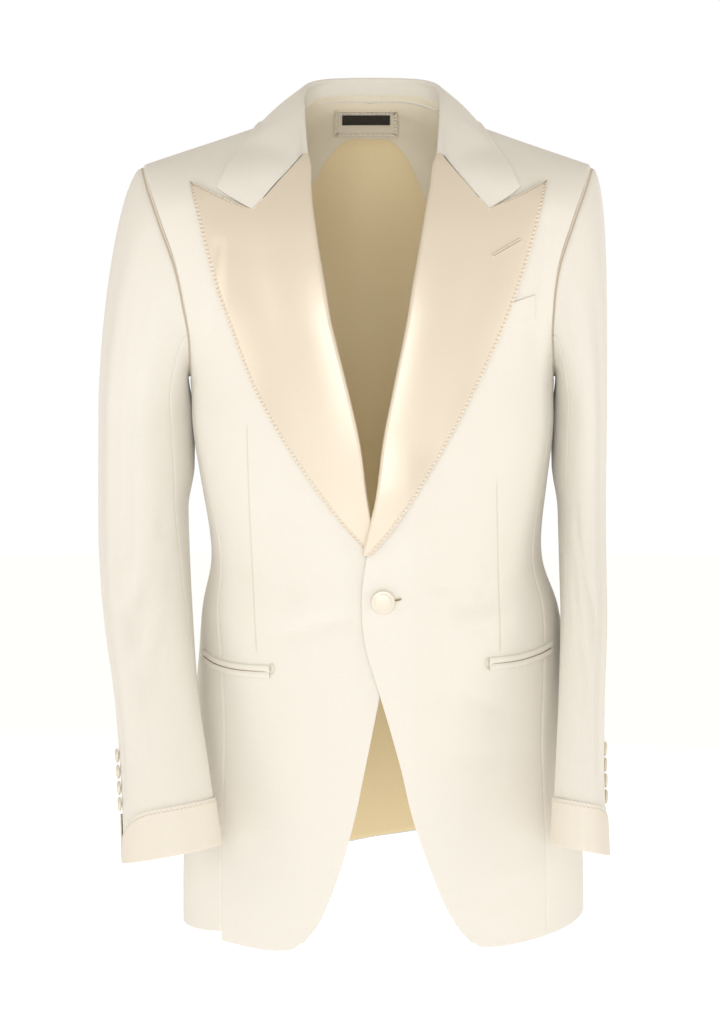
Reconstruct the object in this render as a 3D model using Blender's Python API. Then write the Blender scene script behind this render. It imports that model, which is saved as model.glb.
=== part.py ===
"""A one-button dinner jacket with peak lapels, worn shape with no wearer, as its cut pieces of cloth.

Metres, +Z up. The front faces -Y and +X is the wearer's left. The origin lies between the two
points where the shoulder seams meet the neck. Every piece is a thin wall of cloth. Its outer face is
worked out from the sections of the body or of a sleeve, and its inner face lies one thickness inside.
"""

import math
from collections import namedtuple

import bmesh
import bpy
from mathutils import Vector

RIGHT, LEFT = -1, 1  # the wearer's sides, as signs of X
SIDE_NAME = {RIGHT: "right", LEFT: "left"}

CLOTH = 0.0015  # thickness of wool crepe with its canvas
SATIN = 0.0012
LINING = 0.0010
SEAM_GAP = 0.0003
TURN_STEP = 0.0004  # step in u or v that gives a face's direction
PROBE_TURN, PROBE_DROP, PROBE_ACROSS = 60, 0.3, 0.05  # degrees and metres for one step of u and of v round a place

SHOULDER_SLOPE = 0.347
NECK_HALF = 0.072  # where the shoulder seam meets the neck, from the centre line
NECK_RISE, NECK_ROUND = 0.033, 2.6
SHOULDER_ROUND = 0.060  # height over which the cloth turns over the shoulder
SHOULDER_SEAM_Y = 0.005
RIDGE_ROUNDS = 5  # rounds that settle the shoulder line on the body's own width
NECK_BACK_Y = 0.062
NECK_BACK_Z = 0.0165

OVERLAP_LIFT = 0.0048  # how far the wearer's left front lies out over the right one
OVERLAP_NEAR, OVERLAP_FAR = 0.030, 0.070  # from full lift to none, in X
OVERLAP_START, OVERLAP_FULL, OVERLAP_LEAVE, OVERLAP_END = -0.300, -0.360, -0.560, -0.680

# One row for each level of the body: where its middle is, half its width, how far the front and
# the back stand out, how square the section is (2 is an ellipse), and where it is widest in Y.
Level = namedtuple("Level", "z centre half_width front back square side_y")
BODY = (
    Level(0.040, -0.001, 0.232, 0.040, 0.080, 2.30, 0.000),
    Level(0.000, -0.002, 0.232, 0.045, 0.088, 2.30, 0.000),
    Level(-0.030, -0.004, 0.232, 0.060, 0.098, 2.30, 0.000),
    Level(-0.060, -0.005, 0.230, 0.087, 0.106, 2.30, 0.000),
    Level(-0.100, -0.0055, 0.224, 0.109, 0.115, 2.30, 0.000),
    Level(-0.140, -0.005, 0.214, 0.121, 0.122, 2.30, 0.000),
    Level(-0.180, -0.0035, 0.199, 0.129, 0.126, 2.30, 0.000),
    Level(-0.220, -0.001, 0.182, 0.133, 0.127, 2.30, 0.000),
    Level(-0.250, 0.000, 0.1740, 0.134, 0.125, 2.30, 0.000),
    Level(-0.300, 0.001, 0.1722, 0.134, 0.119, 2.25, 0.000),
    Level(-0.350, 0.002, 0.1655, 0.132, 0.108, 2.20, 0.000),
    Level(-0.400, 0.0035, 0.1590, 0.130, 0.100, 2.15, 0.004),
    Level(-0.430, 0.005, 0.1600, 0.128, 0.099, 2.15, 0.012),
    Level(-0.470, 0.008, 0.1715, 0.1265, 0.106, 2.15, 0.022),
    Level(-0.520, 0.010, 0.1780, 0.125, 0.120, 2.10, 0.030),
    Level(-0.600, 0.0105, 0.1860, 0.123, 0.135, 2.10, 0.030),
    Level(-0.700, 0.011, 0.1940, 0.120, 0.147, 2.10, 0.028),
    Level(-0.800, 0.0115, 0.1955, 0.115, 0.153, 2.10, 0.025),
)

# The edge of each front from the neck down: the line the lapel rolls on, then the closing edge
# and the cutaway.
Edge = namedtuple("Edge", "z right left")
FRONT_EDGE = (
    Edge(0.010, -0.0645, 0.0625),
    Edge(-0.030, -0.0610, 0.0598),
    Edge(-0.045, -0.0590, 0.0588),
    Edge(-0.090, -0.0556, 0.0505),
    Edge(-0.130, -0.0500, 0.0435),
    Edge(-0.170, -0.0432, 0.0363),
    Edge(-0.200, -0.0380, 0.0315),
    Edge(-0.252, -0.0250, 0.0210),
    Edge(-0.306, -0.0124, 0.0104),
    Edge(-0.357, -0.0040, 0.0035),
    Edge(-0.404, 0.0045, -0.0060),
    Edge(-0.444, 0.0150, -0.0097),
    Edge(-0.472, 0.0185, -0.0097),
    Edge(-0.500, 0.0155, -0.0060),
    Edge(-0.5425, 0.0070, 0.0070),
    Edge(-0.607, -0.0060, 0.0254),
    Edge(-0.658, -0.0165, 0.0375),
    Edge(-0.7035, -0.0290, 0.0533),
    Edge(-0.7385, -0.0415, 0.0674),
    Edge(-0.760, -0.0515, 0.0790),
    Edge(-0.7765, -0.0645, 0.0925),
)

# The hem's height by the angle round the body: 0 is the middle of the front, 180 of the back.
Hem = namedtuple("Hem", "angle right left")
HEM = (
    Hem(15, -0.7700, -0.7720),
    Hem(21, -0.7775, -0.7770),
    Hem(26, -0.7840, -0.7810),
    Hem(34, -0.7860, -0.7820),
    Hem(50, -0.7830, -0.7780),
    Hem(70, -0.7810, -0.7715),
    Hem(90, -0.7780, -0.7640),
    Hem(112, -0.7680, -0.7420),
    Hem(135, -0.7510, -0.7210),
    Hem(160, -0.7330, -0.7105),
    Hem(180, -0.7190, -0.7190),
)
SIDE_HEM_RISE = {RIGHT: 0.009, LEFT: 0.0}  # the right side panel hangs a little short at its front

# The largest folds of a front: from (x1, z1) to (x2, z2), how wide to each side, and how far the
# cloth stands out (or in, below 0).
Fold = namedtuple("Fold", "side x1 z1 x2 z2 half height")
FOLDS = (
    Fold(LEFT, 0.086, -0.4600, 0.136, -0.4430, 0.0130, -0.0026),
    Fold(LEFT, 0.090, -0.4860, 0.134, -0.4770, 0.0140, 0.0012),
    Fold(LEFT, 0.060, -0.5440, 0.115, -0.5550, 0.0150, -0.0014),
    Fold(LEFT, 0.115, -0.7400, 0.140, -0.7290, 0.0100, -0.0014),
    Fold(RIGHT, -0.096, -0.3750, -0.076, -0.4450, 0.0130, -0.0026),
    Fold(RIGHT, -0.030, -0.4720, -0.085, -0.4900, 0.0120, -0.0012),
)

# The armhole from the shoulder point (turn 0) down to the underarm (turn 180). The rows beyond
# these two make the loop smooth there.
Arm = namedtuple("Arm", "turn z front_angle back_angle")
SHOULDER_TIP_Z = -0.0496
ARMHOLE = (
    Arm(-30, -0.0690, 71.0, 111.0),
    Arm(0, SHOULDER_TIP_Z, 67.0, 113.0),
    Arm(30, -0.0700, 63.0, 115.0),
    Arm(60, -0.1050, 58.5, 117.5),
    Arm(90, -0.1515, 56.0, 116.5),
    Arm(120, -0.2000, 62.5, 109.0),
    Arm(150, -0.2365, 75.0, 98.0),
    Arm(180, -0.2500, 87.0, 87.0),
    Arm(210, -0.2365, 98.0, 75.0),
)
SIDE_PANEL_TURN = 150
# How late each panel's rows turn to the line of its hem or armhole, as a power of the way there.
FRONT_HEM_RUN, SIDE_HEM_RUN, BACK_HEM_RUN, UNDERARM_RUN = 3, 12, 2, 8
CORNER_SHARE = 0.1  # share of a front's width over which its corner turns into the hem

# The two long seams of each side panel, by the angle round the body.
Seam = namedtuple("Seam", "z front_angle back_angle")
SEAMS = (
    Seam(-0.2365, 75.0, 98.0),
    Seam(-0.300, 73.0, 107.0),
    Seam(-0.350, 71.0, 112.0),
    Seam(-0.420, 67.0, 114.0),
    Seam(-0.520, 58.0, 113.0),
    Seam(-0.600, 52.5, 112.0),
    Seam(-0.800, 51.0, 112.0),
)

# The lapel: where a line across it leaves the roll, and where it reaches the outer edge.
Lapel = namedtuple("Lapel", "roll_z right_x right_z left_x left_z")
LAPEL = (
    Lapel(-0.047, -0.1695, -0.0690, 0.1620, -0.0680),
    Lapel(-0.085, -0.1600, -0.1050, 0.1540, -0.0990),
    Lapel(-0.130, -0.1480, -0.1520, 0.1415, -0.1430),
    Lapel(-0.180, -0.1310, -0.2010, 0.1225, -0.1960),
    Lapel(-0.230, -0.1100, -0.2560, 0.1030, -0.2400),
    Lapel(-0.280, -0.0840, -0.3040, 0.0800, -0.2870),
    Lapel(-0.330, -0.0540, -0.3505, 0.0515, -0.3370),
    Lapel(-0.375, -0.0280, -0.3850, 0.0220, -0.3840),
    Lapel(-0.412, -0.0060, -0.4080, -0.0020, -0.4130),
)
NOTCH_SHARE = 0.44  # the notch lies this far along the lapel's top line
NOTCH_DIP = 0.0415
NOTCH_FADE = 0.16
NOTCH_COLUMN = 0.5

# How the lapel rolls: radius of its visible face at the roll, and its height over the front.
Roll = namedtuple("Roll", "z right left")
LAPEL_ROLL = (
    Roll(-0.040, 0.0040, 0.0040),
    Roll(-0.200, 0.0042, 0.0042),
    Roll(-0.310, 0.0036, 0.0040),
    Roll(-0.365, 0.0021, 0.0034),
    Roll(-0.420, 0.0019, 0.0024),
)
LAPEL_LIE = {RIGHT: 0.0030, LEFT: 0.0036}  # outer face over the front, at the lapel's edge
LAPEL_LIE_LOW = {RIGHT: 0.0022, LEFT: 0.0030}
LAPEL_SETTLE = 0.045  # distance over which the roll settles to that height
ROLL_SHARE = 0.25  # share of the lapel's columns that go round the roll

# The collar from the middle of the back (0) to its front end (1): the roll, the outer edge,
# the neck seam that the stand rises from, and how full the fall is.
Collar = namedtuple("Collar", "way roll_x roll_y roll_z edge_x edge_y edge_z seam_x seam_y seam_z full")
COLLAR = (
    Collar(0.00, 0.0000, 0.0640, 0.0385, 0.0000, 0.0930, -0.0060, 0.0000, 0.0590, 0.0170, 0.0060),
    Collar(0.20, 0.0260, 0.0610, 0.0378, 0.0400, 0.0890, -0.0075, 0.0265, 0.0545, 0.0170, 0.0060),
    Collar(0.38, 0.0480, 0.0480, 0.0350, 0.0760, 0.0690, -0.0115, 0.0480, 0.0430, 0.0138, 0.0050),
    Collar(0.52, 0.0600, 0.0270, 0.0290, 0.0950, 0.0370, -0.0120, 0.0630, 0.0250, 0.0062, 0.0040),
    Collar(0.64, 0.0640, 0.0040, 0.0190, 0.1030, 0.0050, -0.0085, 0.0663, 0.0050, 0.0018, 0.0030),
    Collar(0.76, 0.0635, -0.0240, 0.0020, 0.1120, -0.0240, -0.0230, 0.0655, -0.0215, -0.0080, 0.0030),
    Collar(0.88, 0.0618, -0.0500, -0.0205, 0.1265, -0.0530, -0.0460, 0.0640, -0.0455, -0.0265, 0.0030),
    Collar(1.00, 0.0595, -0.0728, -0.0440, 0.1404, -0.0700, -0.0753, 0.0637, -0.0688, -0.0442, 0.0030),
)
COLLAR_EDGE_SHIFT = -0.0036  # the collar lies a little to the right at its front ends
COLLAR_ROLL_RADIUS = 0.0030
COLLAR_NOTCH_SHARE = 0.57  # the notch lies this far along the collar's front end
ARMHOLE_GAP = 0.0014
LAPEL_GAP = 0.0009  # between a front's cut edge and the start of its lapel's roll
LAPEL_GAP_TOP = 1.5  # how much wider it gets at the gorge
GORGE_REACH, BREAK_REACH = (-0.080, -0.050), (-0.360, -0.400)  # heights over which it widens
LOW_LAPEL = (-0.330, -0.375)  # heights over which the lapel thins out towards the button
GORGE_GAP = 0.0015
NEARLY_SIDE, DEEP_INSIDE = 0.999, 0.2  # limits within which a point is moved out of the body
COLLAR_STAND_SHARE = 0.30
COLLAR_ROLL_SHARE = 0.20
COLLAR_LIE = 0.0034
COLLAR_FULLNESS = 0.004  # how much higher the fall stands at its roll
COLLAR_BEND = 0.4  # where the fall bends, as a share of its length
COLLAR_END_START = 0.80  # way along the collar from which its fall meets the lapel
COLLAR_STEP = 0.02  # step along the collar that gives its direction

# The sleeves from the underarm to the hem: the middle of each ring and its half sizes.
Ring = namedtuple("Ring", "z x y half_width half_depth")
SLEEVE = {
    RIGHT: (
        Ring(-0.290, -0.2195, 0.010, 0.0430, 0.074),
        Ring(-0.360, -0.2198, 0.006, 0.0430, 0.073),
        Ring(-0.420, -0.2180, -0.006, 0.0432, 0.068),
        Ring(-0.480, -0.2128, -0.028, 0.0420, 0.061),
        Ring(-0.550, -0.2035, -0.058, 0.0392, 0.053),
        Ring(-0.620, -0.1940, -0.088, 0.0410, 0.046),
        Ring(-0.6905, -0.1858, -0.116, 0.0445, 0.042),
    ),
    LEFT: (
        Ring(-0.290, 0.2012, 0.012, 0.0237, 0.086),
        Ring(-0.360, 0.2010, 0.004, 0.0225, 0.083),
        Ring(-0.420, 0.2006, -0.018, 0.0218, 0.076),
        Ring(-0.480, 0.1998, -0.050, 0.0215, 0.066),
        Ring(-0.550, 0.1956, -0.083, 0.0210, 0.059),
        Ring(-0.620, 0.1926, -0.108, 0.0225, 0.055),
        Ring(-0.6845, 0.1918, -0.129, 0.0252, 0.053),
    ),
}
SLEEVE_HEM_TILT_X = {RIGHT: 0.19, LEFT: -0.20}
SLEEVE_HEM_TILT_Y = {RIGHT: -0.11, LEFT: -0.15}
SLEEVE_HEAD_SHARE = 0.36  # share of a sleeve's rows above the first ring
SLEEVE_HEAD_OUT = {RIGHT: 0.075, LEFT: 0.055}  # how hard the sleeve head is pushed out
SLEEVE_UNDER_OUT = 0.012
SLEEVE_HEAD_BACK, SLEEVE_HEAD_DROP = 0.02, 0.25  # how the head leaves the armhole
SLEEVE_FRONT_SEAM = 232  # where the inner seam runs, in degrees round the sleeve
SLEEVE_BACK_SEAM = {RIGHT: 100, LEFT: 100}
SLEEVE_BACK_SEAM_HEM = {RIGHT: -8, LEFT: 8}  # the outer seam turns out to the buttons at the hem

CUFF_HEIGHT = 0.042
CUFF_CORNER = 0.034  # how far the round end reaches along the hem
CUFF_LENGTH = 0.27
CUFF_END = 0.12  # share of its height that the round end starts from
CUFF_OPEN = 3.0  # half the gap between the cuff's ends, in degrees

BUTTON_RADIUS = 0.0111
BUTTON_HEIGHT = 0.0052
BUTTON_X, BUTTON_Z = 0.0096, -0.4551
BUTTON_SEGMENTS, SLEEVE_BUTTON_SEGMENTS, BUTTON_ROWS = 20, 10, 6
BUTTON_DOME = 0.8  # 1 is a round dome, less is a flatter one
SLEEVE_BUTTON_RADIUS = 0.0068
SLEEVE_BUTTON_HEIGHT = 0.0038
SLEEVE_BUTTONS = 4
SLEEVE_BUTTON_PITCH = 0.0140
SLEEVE_BUTTON_LOW = 0.051  # the lowest one above the hem

# The jetted pockets: the curve of the slit from the side to its front end.
Slit = namedtuple("Slit", "share right_x right_z left_x left_z")
POCKET = (
    Slit(0.0, -0.1610, -0.5165, 0.1700, -0.5065),
    Slit(0.3, -0.1480, -0.5215, 0.1570, -0.5105),
    Slit(0.6, -0.1280, -0.5238, 0.1370, -0.5142),
    Slit(1.0, -0.0950, -0.5232, 0.1080, -0.5155),
)
POCKET_HALF = 0.0062
JET_LIFT = 0.0021
SLIT_LIFT = 0.0016
SLIT_SHARE = 0.12  # share of a pocket's depth that dips to the slit

WELT = {"inner_x": 0.100, "inner_z": -0.1905, "outer_x": 0.1500, "outer_z": -0.1735, "height": 0.022}

LINING_TOP, LINING_LOW = 0.004, 0.996  # from and to, as shares of the way down the back
LINING_SIDE_TOP = 0.12
LINING_DEPTH = 0.0058  # its visible face, inside the outer face of the back
LINING_REACH = 0.97  # how far it goes towards the side seams
LINING_NECK = (0.16, 0.32)  # shares of the way to the side over which its top drops
LINING_ROWS_RUN = 1.6  # its rows lie closer together at the neck
PLEAT_REACH = 0.15
PLEAT_STARTS = (0.06, 0.14)  # shares of the way down over which the pleat opens
PLEAT_HALF = 0.012  # the pleat down the middle of the lining, to each side
PLEAT_HIGH = 0.0030
PATCH_WIDTH, PATCH_HEIGHT = 0.066, 0.025
PATCH_TOP, PATCH_DEPTH = 0.0140, 0.0104
LABEL_WIDTH, LABEL_HEIGHT = 0.050, 0.0095
LABEL_TOP, LABEL_DEPTH, LABEL_THICK = 0.0108, 0.0118, 0.0008

NECK_EDGE_Z = 0.0030
UNDERARM_Z = -0.2365
CORNER_Z = {RIGHT: -0.7765, LEFT: -0.7765}  # where a front's closing edge becomes its hem
ARMHOLE_ROWS, SEAM_ROWS = 7, 18  # rows of a panel beside the armhole and below it
FRONT_COLUMNS, SIDE_COLUMNS, BACK_COLUMNS = 11, 5, 9
LAPEL_GRID, COLLAR_GRID = (12, 20), (36, 12)  # columns and rows
TOP_GRID, UNDER_GRID, CUFF_GRID = (12, 16), (10, 16), (30, 3)
POCKET_GRID, WELT_GRID, LINING_GRID = (10, 6), (5, 2), (16, 16)
PATCH_GRID, LABEL_GRID = (6, 2), (6, 1)
PANEL_ROWS = ARMHOLE_ROWS + SEAM_ROWS
ARMHOLE_SHARE = ARMHOLE_ROWS / PANEL_ROWS
ROLL_SET_BACK = 0.0040
NECK_SET_BACK = 0.0065
NECK_REACH = (-0.060, -0.040)  # heights between which the edge goes from the one to the other
ROLL_ENDS = (-0.380, -0.450)  # heights over which the roll runs out into the closing edge
SEAM_ANGLE = 0.065  # half a seam's gap, in degrees round the body
MIDDLE_ANGLE = 0.10
SLEEVE_SEAM_ANGLE = 0.25
INNER_SEAM_TURNS, OUTER_SEAM_TURNS = (0.2, 1.0), (0.25, 1.0)  # where each seam starts and ends to turn
SLEEVE_FRONT_SEAM_HEM = 188
CUFF_LIFT = 0.0022
WELT_LIFT = 0.0016

COLOURS = {
    "wool": (0.83, 0.79, 0.72),
    "satin": (0.86, 0.79, 0.73),
    "lining": (0.58, 0.47, 0.30),
    "label": (0.02, 0.02, 0.02),
}
ROUGHNESS = {"wool": 0.85, "satin": 0.35, "lining": 0.45, "label": 0.60}


def clear_scene():
    for thing in list(bpy.data.objects):
        bpy.data.objects.remove(thing, do_unlink=True)


def slope(table, column, i):
    """The tangent of a table's smooth curve at row i."""
    low, high = max(i - 1, 0), min(i + 1, len(table) - 1)
    rise = getattr(table[high], column) - getattr(table[low], column)
    return rise / (table[high][0] - table[low][0])


def read(table, column, at):
    """A column's value on the smooth curve through the rows. The first column is the way along."""
    last = len(table) - 1
    if (at - table[0][0]) * (table[last][0] - table[0][0]) <= 0:
        return getattr(table[0], column)
    if (at - table[last][0]) * (table[last][0] - table[0][0]) >= 0:
        return getattr(table[last], column)
    i = next(k for k in range(last) if (at - table[k][0]) * (at - table[k + 1][0]) <= 0)
    span = table[i + 1][0] - table[i][0]
    t = (at - table[i][0]) / span
    start, end = getattr(table[i], column), getattr(table[i + 1], column)
    return (
        start * (1 + 2 * t) * (1 - t) ** 2
        + end * t * t * (3 - 2 * t)
        + slope(table, column, i) * span * t * (1 - t) ** 2
        - slope(table, column, i + 1) * span * t * t * (1 - t)
    )


def mix(a, b, share):
    return a + (b - a) * share


def ease(at, start, end):
    """0 at start, 1 at end, smooth between them."""
    t = min(max((at - start) / (end - start), 0.0), 1.0)
    return t * t * (3 - 2 * t)


def power(value, exponent):
    return math.copysign(abs(value) ** exponent, value)


def ridge(reach):
    """Height of the shoulder line at a distance from the centre line. It rises inside the neck."""
    if reach < NECK_HALF:
        return NECK_RISE * (1 - (reach / NECK_HALF) ** NECK_ROUND)
    return -SHOULDER_SLOPE * (reach - NECK_HALF)


def reach_of(angle):
    """How far from the centre line the shoulder line is at an angle round the body."""
    z = 0.0
    for _ in range(RIDGE_ROUNDS):
        sine = math.sin(math.radians(angle))
        reach = power(sine, 2 / read(BODY, "square", z)) * read(BODY, "half_width", z)
        z = ridge(reach)
    return reach


def body(side, angle, z):
    """A point of the cloth's outer face, by the angle round the body from the middle of the front."""
    turn = math.radians(angle)
    exponent = 2 / read(BODY, "square", z)
    reach = power(math.sin(turn), exponent) * read(BODY, "half_width", z)
    cosine = math.cos(turn)
    widest = read(BODY, "side_y", z)
    depth = read(BODY, "front", z) + widest if cosine > 0 else read(BODY, "back", z) - widest
    y = widest - power(cosine, exponent) * depth
    drop = (ridge(abs(reach)) - z) / SHOULDER_ROUND
    if drop < 1:
        y = mix(SHOULDER_SEAM_Y, y, math.sqrt(max(0.0, 1 - (1 - max(drop, 0)) ** 2)))
    return Vector((read(BODY, "centre", z) + side * reach, y, z))


def angle_at(side, x, z):
    """The angle round the body at which its front has this X."""
    share = side * (x - read(BODY, "centre", z)) / read(BODY, "half_width", z)
    sine = power(min(max(share, -1), 1), read(BODY, "square", z) / 2)
    return math.degrees(math.asin(sine))


def overlap(side, x, z):
    if side == RIGHT:
        return 0.0
    across = 1 - ease(x, OVERLAP_NEAR, OVERLAP_FAR)
    down = ease(z, OVERLAP_START, OVERLAP_FULL) * (1 - ease(z, OVERLAP_LEAVE, OVERLAP_END))
    return OVERLAP_LIFT * across * down


def front(side, angle, z):
    """The outer face of a front. The wearer's left one lies over the right one."""
    point = body(side, angle, z)
    point.y -= overlap(side, point.x, z) + folded(side, point.x, z)
    return point


def folded(side, x, z):
    """How far the folds of a front stand out at a place on it."""
    total = 0.0
    for fold in FOLDS:
        if fold.side != side:
            continue
        long_x, long_z = fold.x2 - fold.x1, fold.z2 - fold.z1
        t = ((x - fold.x1) * long_x + (z - fold.z1) * long_z) / (long_x**2 + long_z**2)
        t = min(max(t, 0.0), 1.0)
        off = math.hypot(x - fold.x1 - long_x * t, z - fold.z1 - long_z * t)
        total += fold.height * math.exp(-((off / fold.half) ** 2))
    return total


def facing(face, u, v):
    """The direction that a face looks in, as the cross product of its two ways."""
    step = TURN_STEP
    along = face(u + step, v) - face(u - step, v)
    down = face(u, v + step) - face(u, v - step)
    return along.cross(down).normalized()


def lifted(side, x, z, height):
    """A point over a front, at a place given from the front."""
    def face(u, v):
        return front(side, angle_at(side, x, z) + PROBE_TURN * u, z - PROBE_DROP * v)

    return face(0, 0) + height * side * facing(face, 0, 0) * -1


def material(kind):
    found = bpy.data.materials.get(kind)
    if found:
        return found
    made = bpy.data.materials.new(kind)
    made.use_nodes = True
    shader = made.node_tree.nodes["Principled BSDF"]
    shader.inputs["Base Color"].default_value = (*COLOURS[kind], 1)
    shader.inputs["Roughness"].default_value = ROUGHNESS[kind]
    shader.inputs["Metallic"].default_value = 0.0
    made.diffuse_color = (*COLOURS[kind], 1)
    return made


def add_object(name, mesh_maker, kind, collection):
    mesh = bpy.data.meshes.new(name)
    mesh_maker.to_mesh(mesh)
    mesh_maker.free()
    mesh.materials.append(material(kind))
    mesh.shade_smooth()
    piece = bpy.data.objects.new(name, mesh)
    collection.objects.link(piece)
    return piece


def wall(name, face, columns, rows, thick, kind, collection, inward=1):
    """A wall of cloth whose outer face is face(u, v). inward is 1 or -1, by the way the face looks."""
    maker = bmesh.new()
    bmesh.ops.create_grid(maker, x_segments=columns, y_segments=rows, size=0.5)
    outer = list(maker.verts)
    made = bmesh.ops.extrude_face_region(maker, geom=maker.faces[:])
    inner = [thing for thing in made["geom"] if isinstance(thing, bmesh.types.BMVert)]
    for vertices, depth in ((outer, 0.0), (inner, thick)):
        for vertex in vertices:
            u, v = vertex.co.x + 0.5, vertex.co.y + 0.5
            vertex.co = face(u, v) + facing(face, u, v) * depth * inward
    bmesh.ops.triangulate(maker, faces=maker.faces[:], quad_method="SHORT_EDGE")
    bmesh.ops.recalc_face_normals(maker, faces=maker.faces[:])
    return add_object(name, maker, kind, collection)


def front_edge(side, z):
    """X of a front's cut edge. Above the button it lies back from the roll by the roll's radius."""
    back = mix(ROLL_SET_BACK, NECK_SET_BACK, ease(z, *NECK_REACH)) * (1 - ease(z, *ROLL_ENDS))
    return read(FRONT_EDGE, SIDE_NAME[side], z) + side * back


def hem(side, angle):
    return read(HEM, SIDE_NAME[side], angle)


def front_panel(side):
    """The face of a front: u from the closing edge to the side seam, v from the shoulder to the hem."""
    def edge_angle(z):
        return angle_at(side, front_edge(side, z), z)

    def face(u, v):
        share = v / ARMHOLE_SHARE
        down = max((v - ARMHOLE_SHARE) / (1 - ARMHOLE_SHARE), 0)
        if share < 1:
            inner_z = mix(NECK_EDGE_Z, UNDERARM_Z, share)
            outer_z = read(ARMHOLE, "z", SIDE_PANEL_TURN * share)
            outer = read(ARMHOLE, "front_angle", SIDE_PANEL_TURN * share)
        else:
            inner_z = mix(UNDERARM_Z, CORNER_Z[side], down)
            outer_z = mix(UNDERARM_Z, hem(side, SEAMS[-1].front_angle), down)
            outer = read(SEAMS, "front_angle", outer_z)
        angle = mix(edge_angle(inner_z), outer - SEAM_ANGLE, u)
        z = mix(inner_z, outer_z, u)
        if share < 1:
            z += (ridge(reach_of(angle)) - mix(NECK_EDGE_Z, SHOULDER_TIP_Z, u)) * (1 - share)
        else:
            level = mix(CORNER_Z[side], hem(side, SEAMS[-1].front_angle), u)
            z += (hem(side, angle) - level) * down**FRONT_HEM_RUN * ease(u, 0, CORNER_SHARE)
        point = front(side, angle, z)
        point.y = min(point.y, SHOULDER_SEAM_Y - SEAM_GAP / 2)
        return point

    return face


def side_panel(side):
    """The face of a side panel: u from its front seam to its back seam, v from the armhole down."""
    def face(u, v):
        turn = mix(SIDE_PANEL_TURN, 360 - SIDE_PANEL_TURN, u)
        column = "front_angle" if turn < 180 else "back_angle"
        deep = min(turn, 360 - turn)
        top_angle, top = read(ARMHOLE, column, deep), read(ARMHOLE, "z", deep)
        low_angle = mix(SEAMS[-1].front_angle, SEAMS[-1].back_angle, u)
        rise = SIDE_HEM_RISE[side] * (1 - u) ** 3 * v**SIDE_HEM_RUN
        z = mix(top - SEAM_GAP, hem(side, low_angle), v) + rise
        start = read(SEAMS, "front_angle", z) + SEAM_ANGLE
        end = read(SEAMS, "back_angle", z) - SEAM_ANGLE
        at_top = (1 - v) ** UNDERARM_RUN * 4 * u * (1 - u)
        angle = mix(mix(start, end, u), top_angle, at_top)
        return body(side, angle, z)

    return face


def back_panel(side):
    """The face of half the back: u from the middle seam to the side seam, v from the neck down."""
    def face(u, v):
        share = v / ARMHOLE_SHARE
        down = max((v - ARMHOLE_SHARE) / (1 - ARMHOLE_SHARE), 0)
        if share < 1:
            outer_z = read(ARMHOLE, "z", SIDE_PANEL_TURN * share)
            outer = read(ARMHOLE, "back_angle", SIDE_PANEL_TURN * share)
        else:
            outer_z = mix(UNDERARM_Z, hem(side, SEAMS[-1].back_angle), down)
            outer = read(SEAMS, "back_angle", outer_z)
        angle = mix(180 - MIDDLE_ANGLE, outer + SEAM_ANGLE, u)
        top = neckline(side, angle)
        middle = mix(NECK_BACK_Z, UNDERARM_Z, share) if share < 1 else mix(UNDERARM_Z, hem(side, 180), down)
        if share < 1:
            line = mix(NECK_BACK_Z, SHOULDER_TIP_Z, u)
            z = mix(middle, outer_z, u) + (top - line) * (1 - share)
        else:
            level = mix(hem(side, 180), hem(side, SEAMS[-1].back_angle), u)
            z = mix(middle, outer_z, u) + (hem(side, angle) - level) * down**BACK_HEM_RUN
        point = body(side, angle, z)
        point.y = max(point.y, SHOULDER_SEAM_Y + SEAM_GAP / 2)
        return point

    return face


def neckline(side, angle):
    """Height of the back's top edge: the back of the neck, then the shoulder seam."""
    reach = reach_of(angle)
    if reach >= NECK_HALF:
        return ridge(reach)
    round_part = math.sqrt(max(0.0, 1 - (reach / NECK_HALF) ** 2))
    depth = BODY[1].back - SHOULDER_SEAM_Y
    out = (NECK_BACK_Y - SHOULDER_SEAM_Y) * round_part / depth
    return ridge(reach) - SHOULDER_ROUND * (1 - math.sqrt(1 - out * out))


def lapel_place(side):
    """X, Z and the distance from the roll, by the way across the lapel and the way down it."""
    name = SIDE_NAME[side]

    def place(way, v):
        row = v * (len(LAPEL) - 1)
        roll_z = by_row(LAPEL, "roll_z", row)
        edge_x, edge_z = by_row(LAPEL, name + "_x", row), by_row(LAPEL, name + "_z", row)
        if way < NOTCH_COLUMN:
            across = NOTCH_SHARE * way / NOTCH_COLUMN
            dip = way / NOTCH_COLUMN
        else:
            across = mix(NOTCH_SHARE, 1, (way - NOTCH_COLUMN) / (1 - NOTCH_COLUMN))
            dip = (1 - way) / (1 - NOTCH_COLUMN)
        z = mix(roll_z, edge_z, across) - NOTCH_DIP * dip * math.exp(-v / NOTCH_FADE)
        gap = LAPEL_GAP * (1 + LAPEL_GAP_TOP * ease(z, *GORGE_REACH) + ease(z, *BREAK_REACH))
        start = front_edge(side, roll_z) - side * gap
        return mix(start, edge_x, across), z, abs(edge_x - start) * across

    return place


def lapel_height(side, z, distance):
    """Height of a lapel's visible face over the front, at a distance from the roll."""
    low = ease(z, *LOW_LAPEL)
    lie = mix(LAPEL_LIE[side], LAPEL_LIE_LOW[side], low)
    rolled = 2 * read(LAPEL_ROLL, SIDE_NAME[side], z) - CLOTH
    return mix(rolled, lie, ease(distance, 0, LAPEL_SETTLE))


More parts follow.
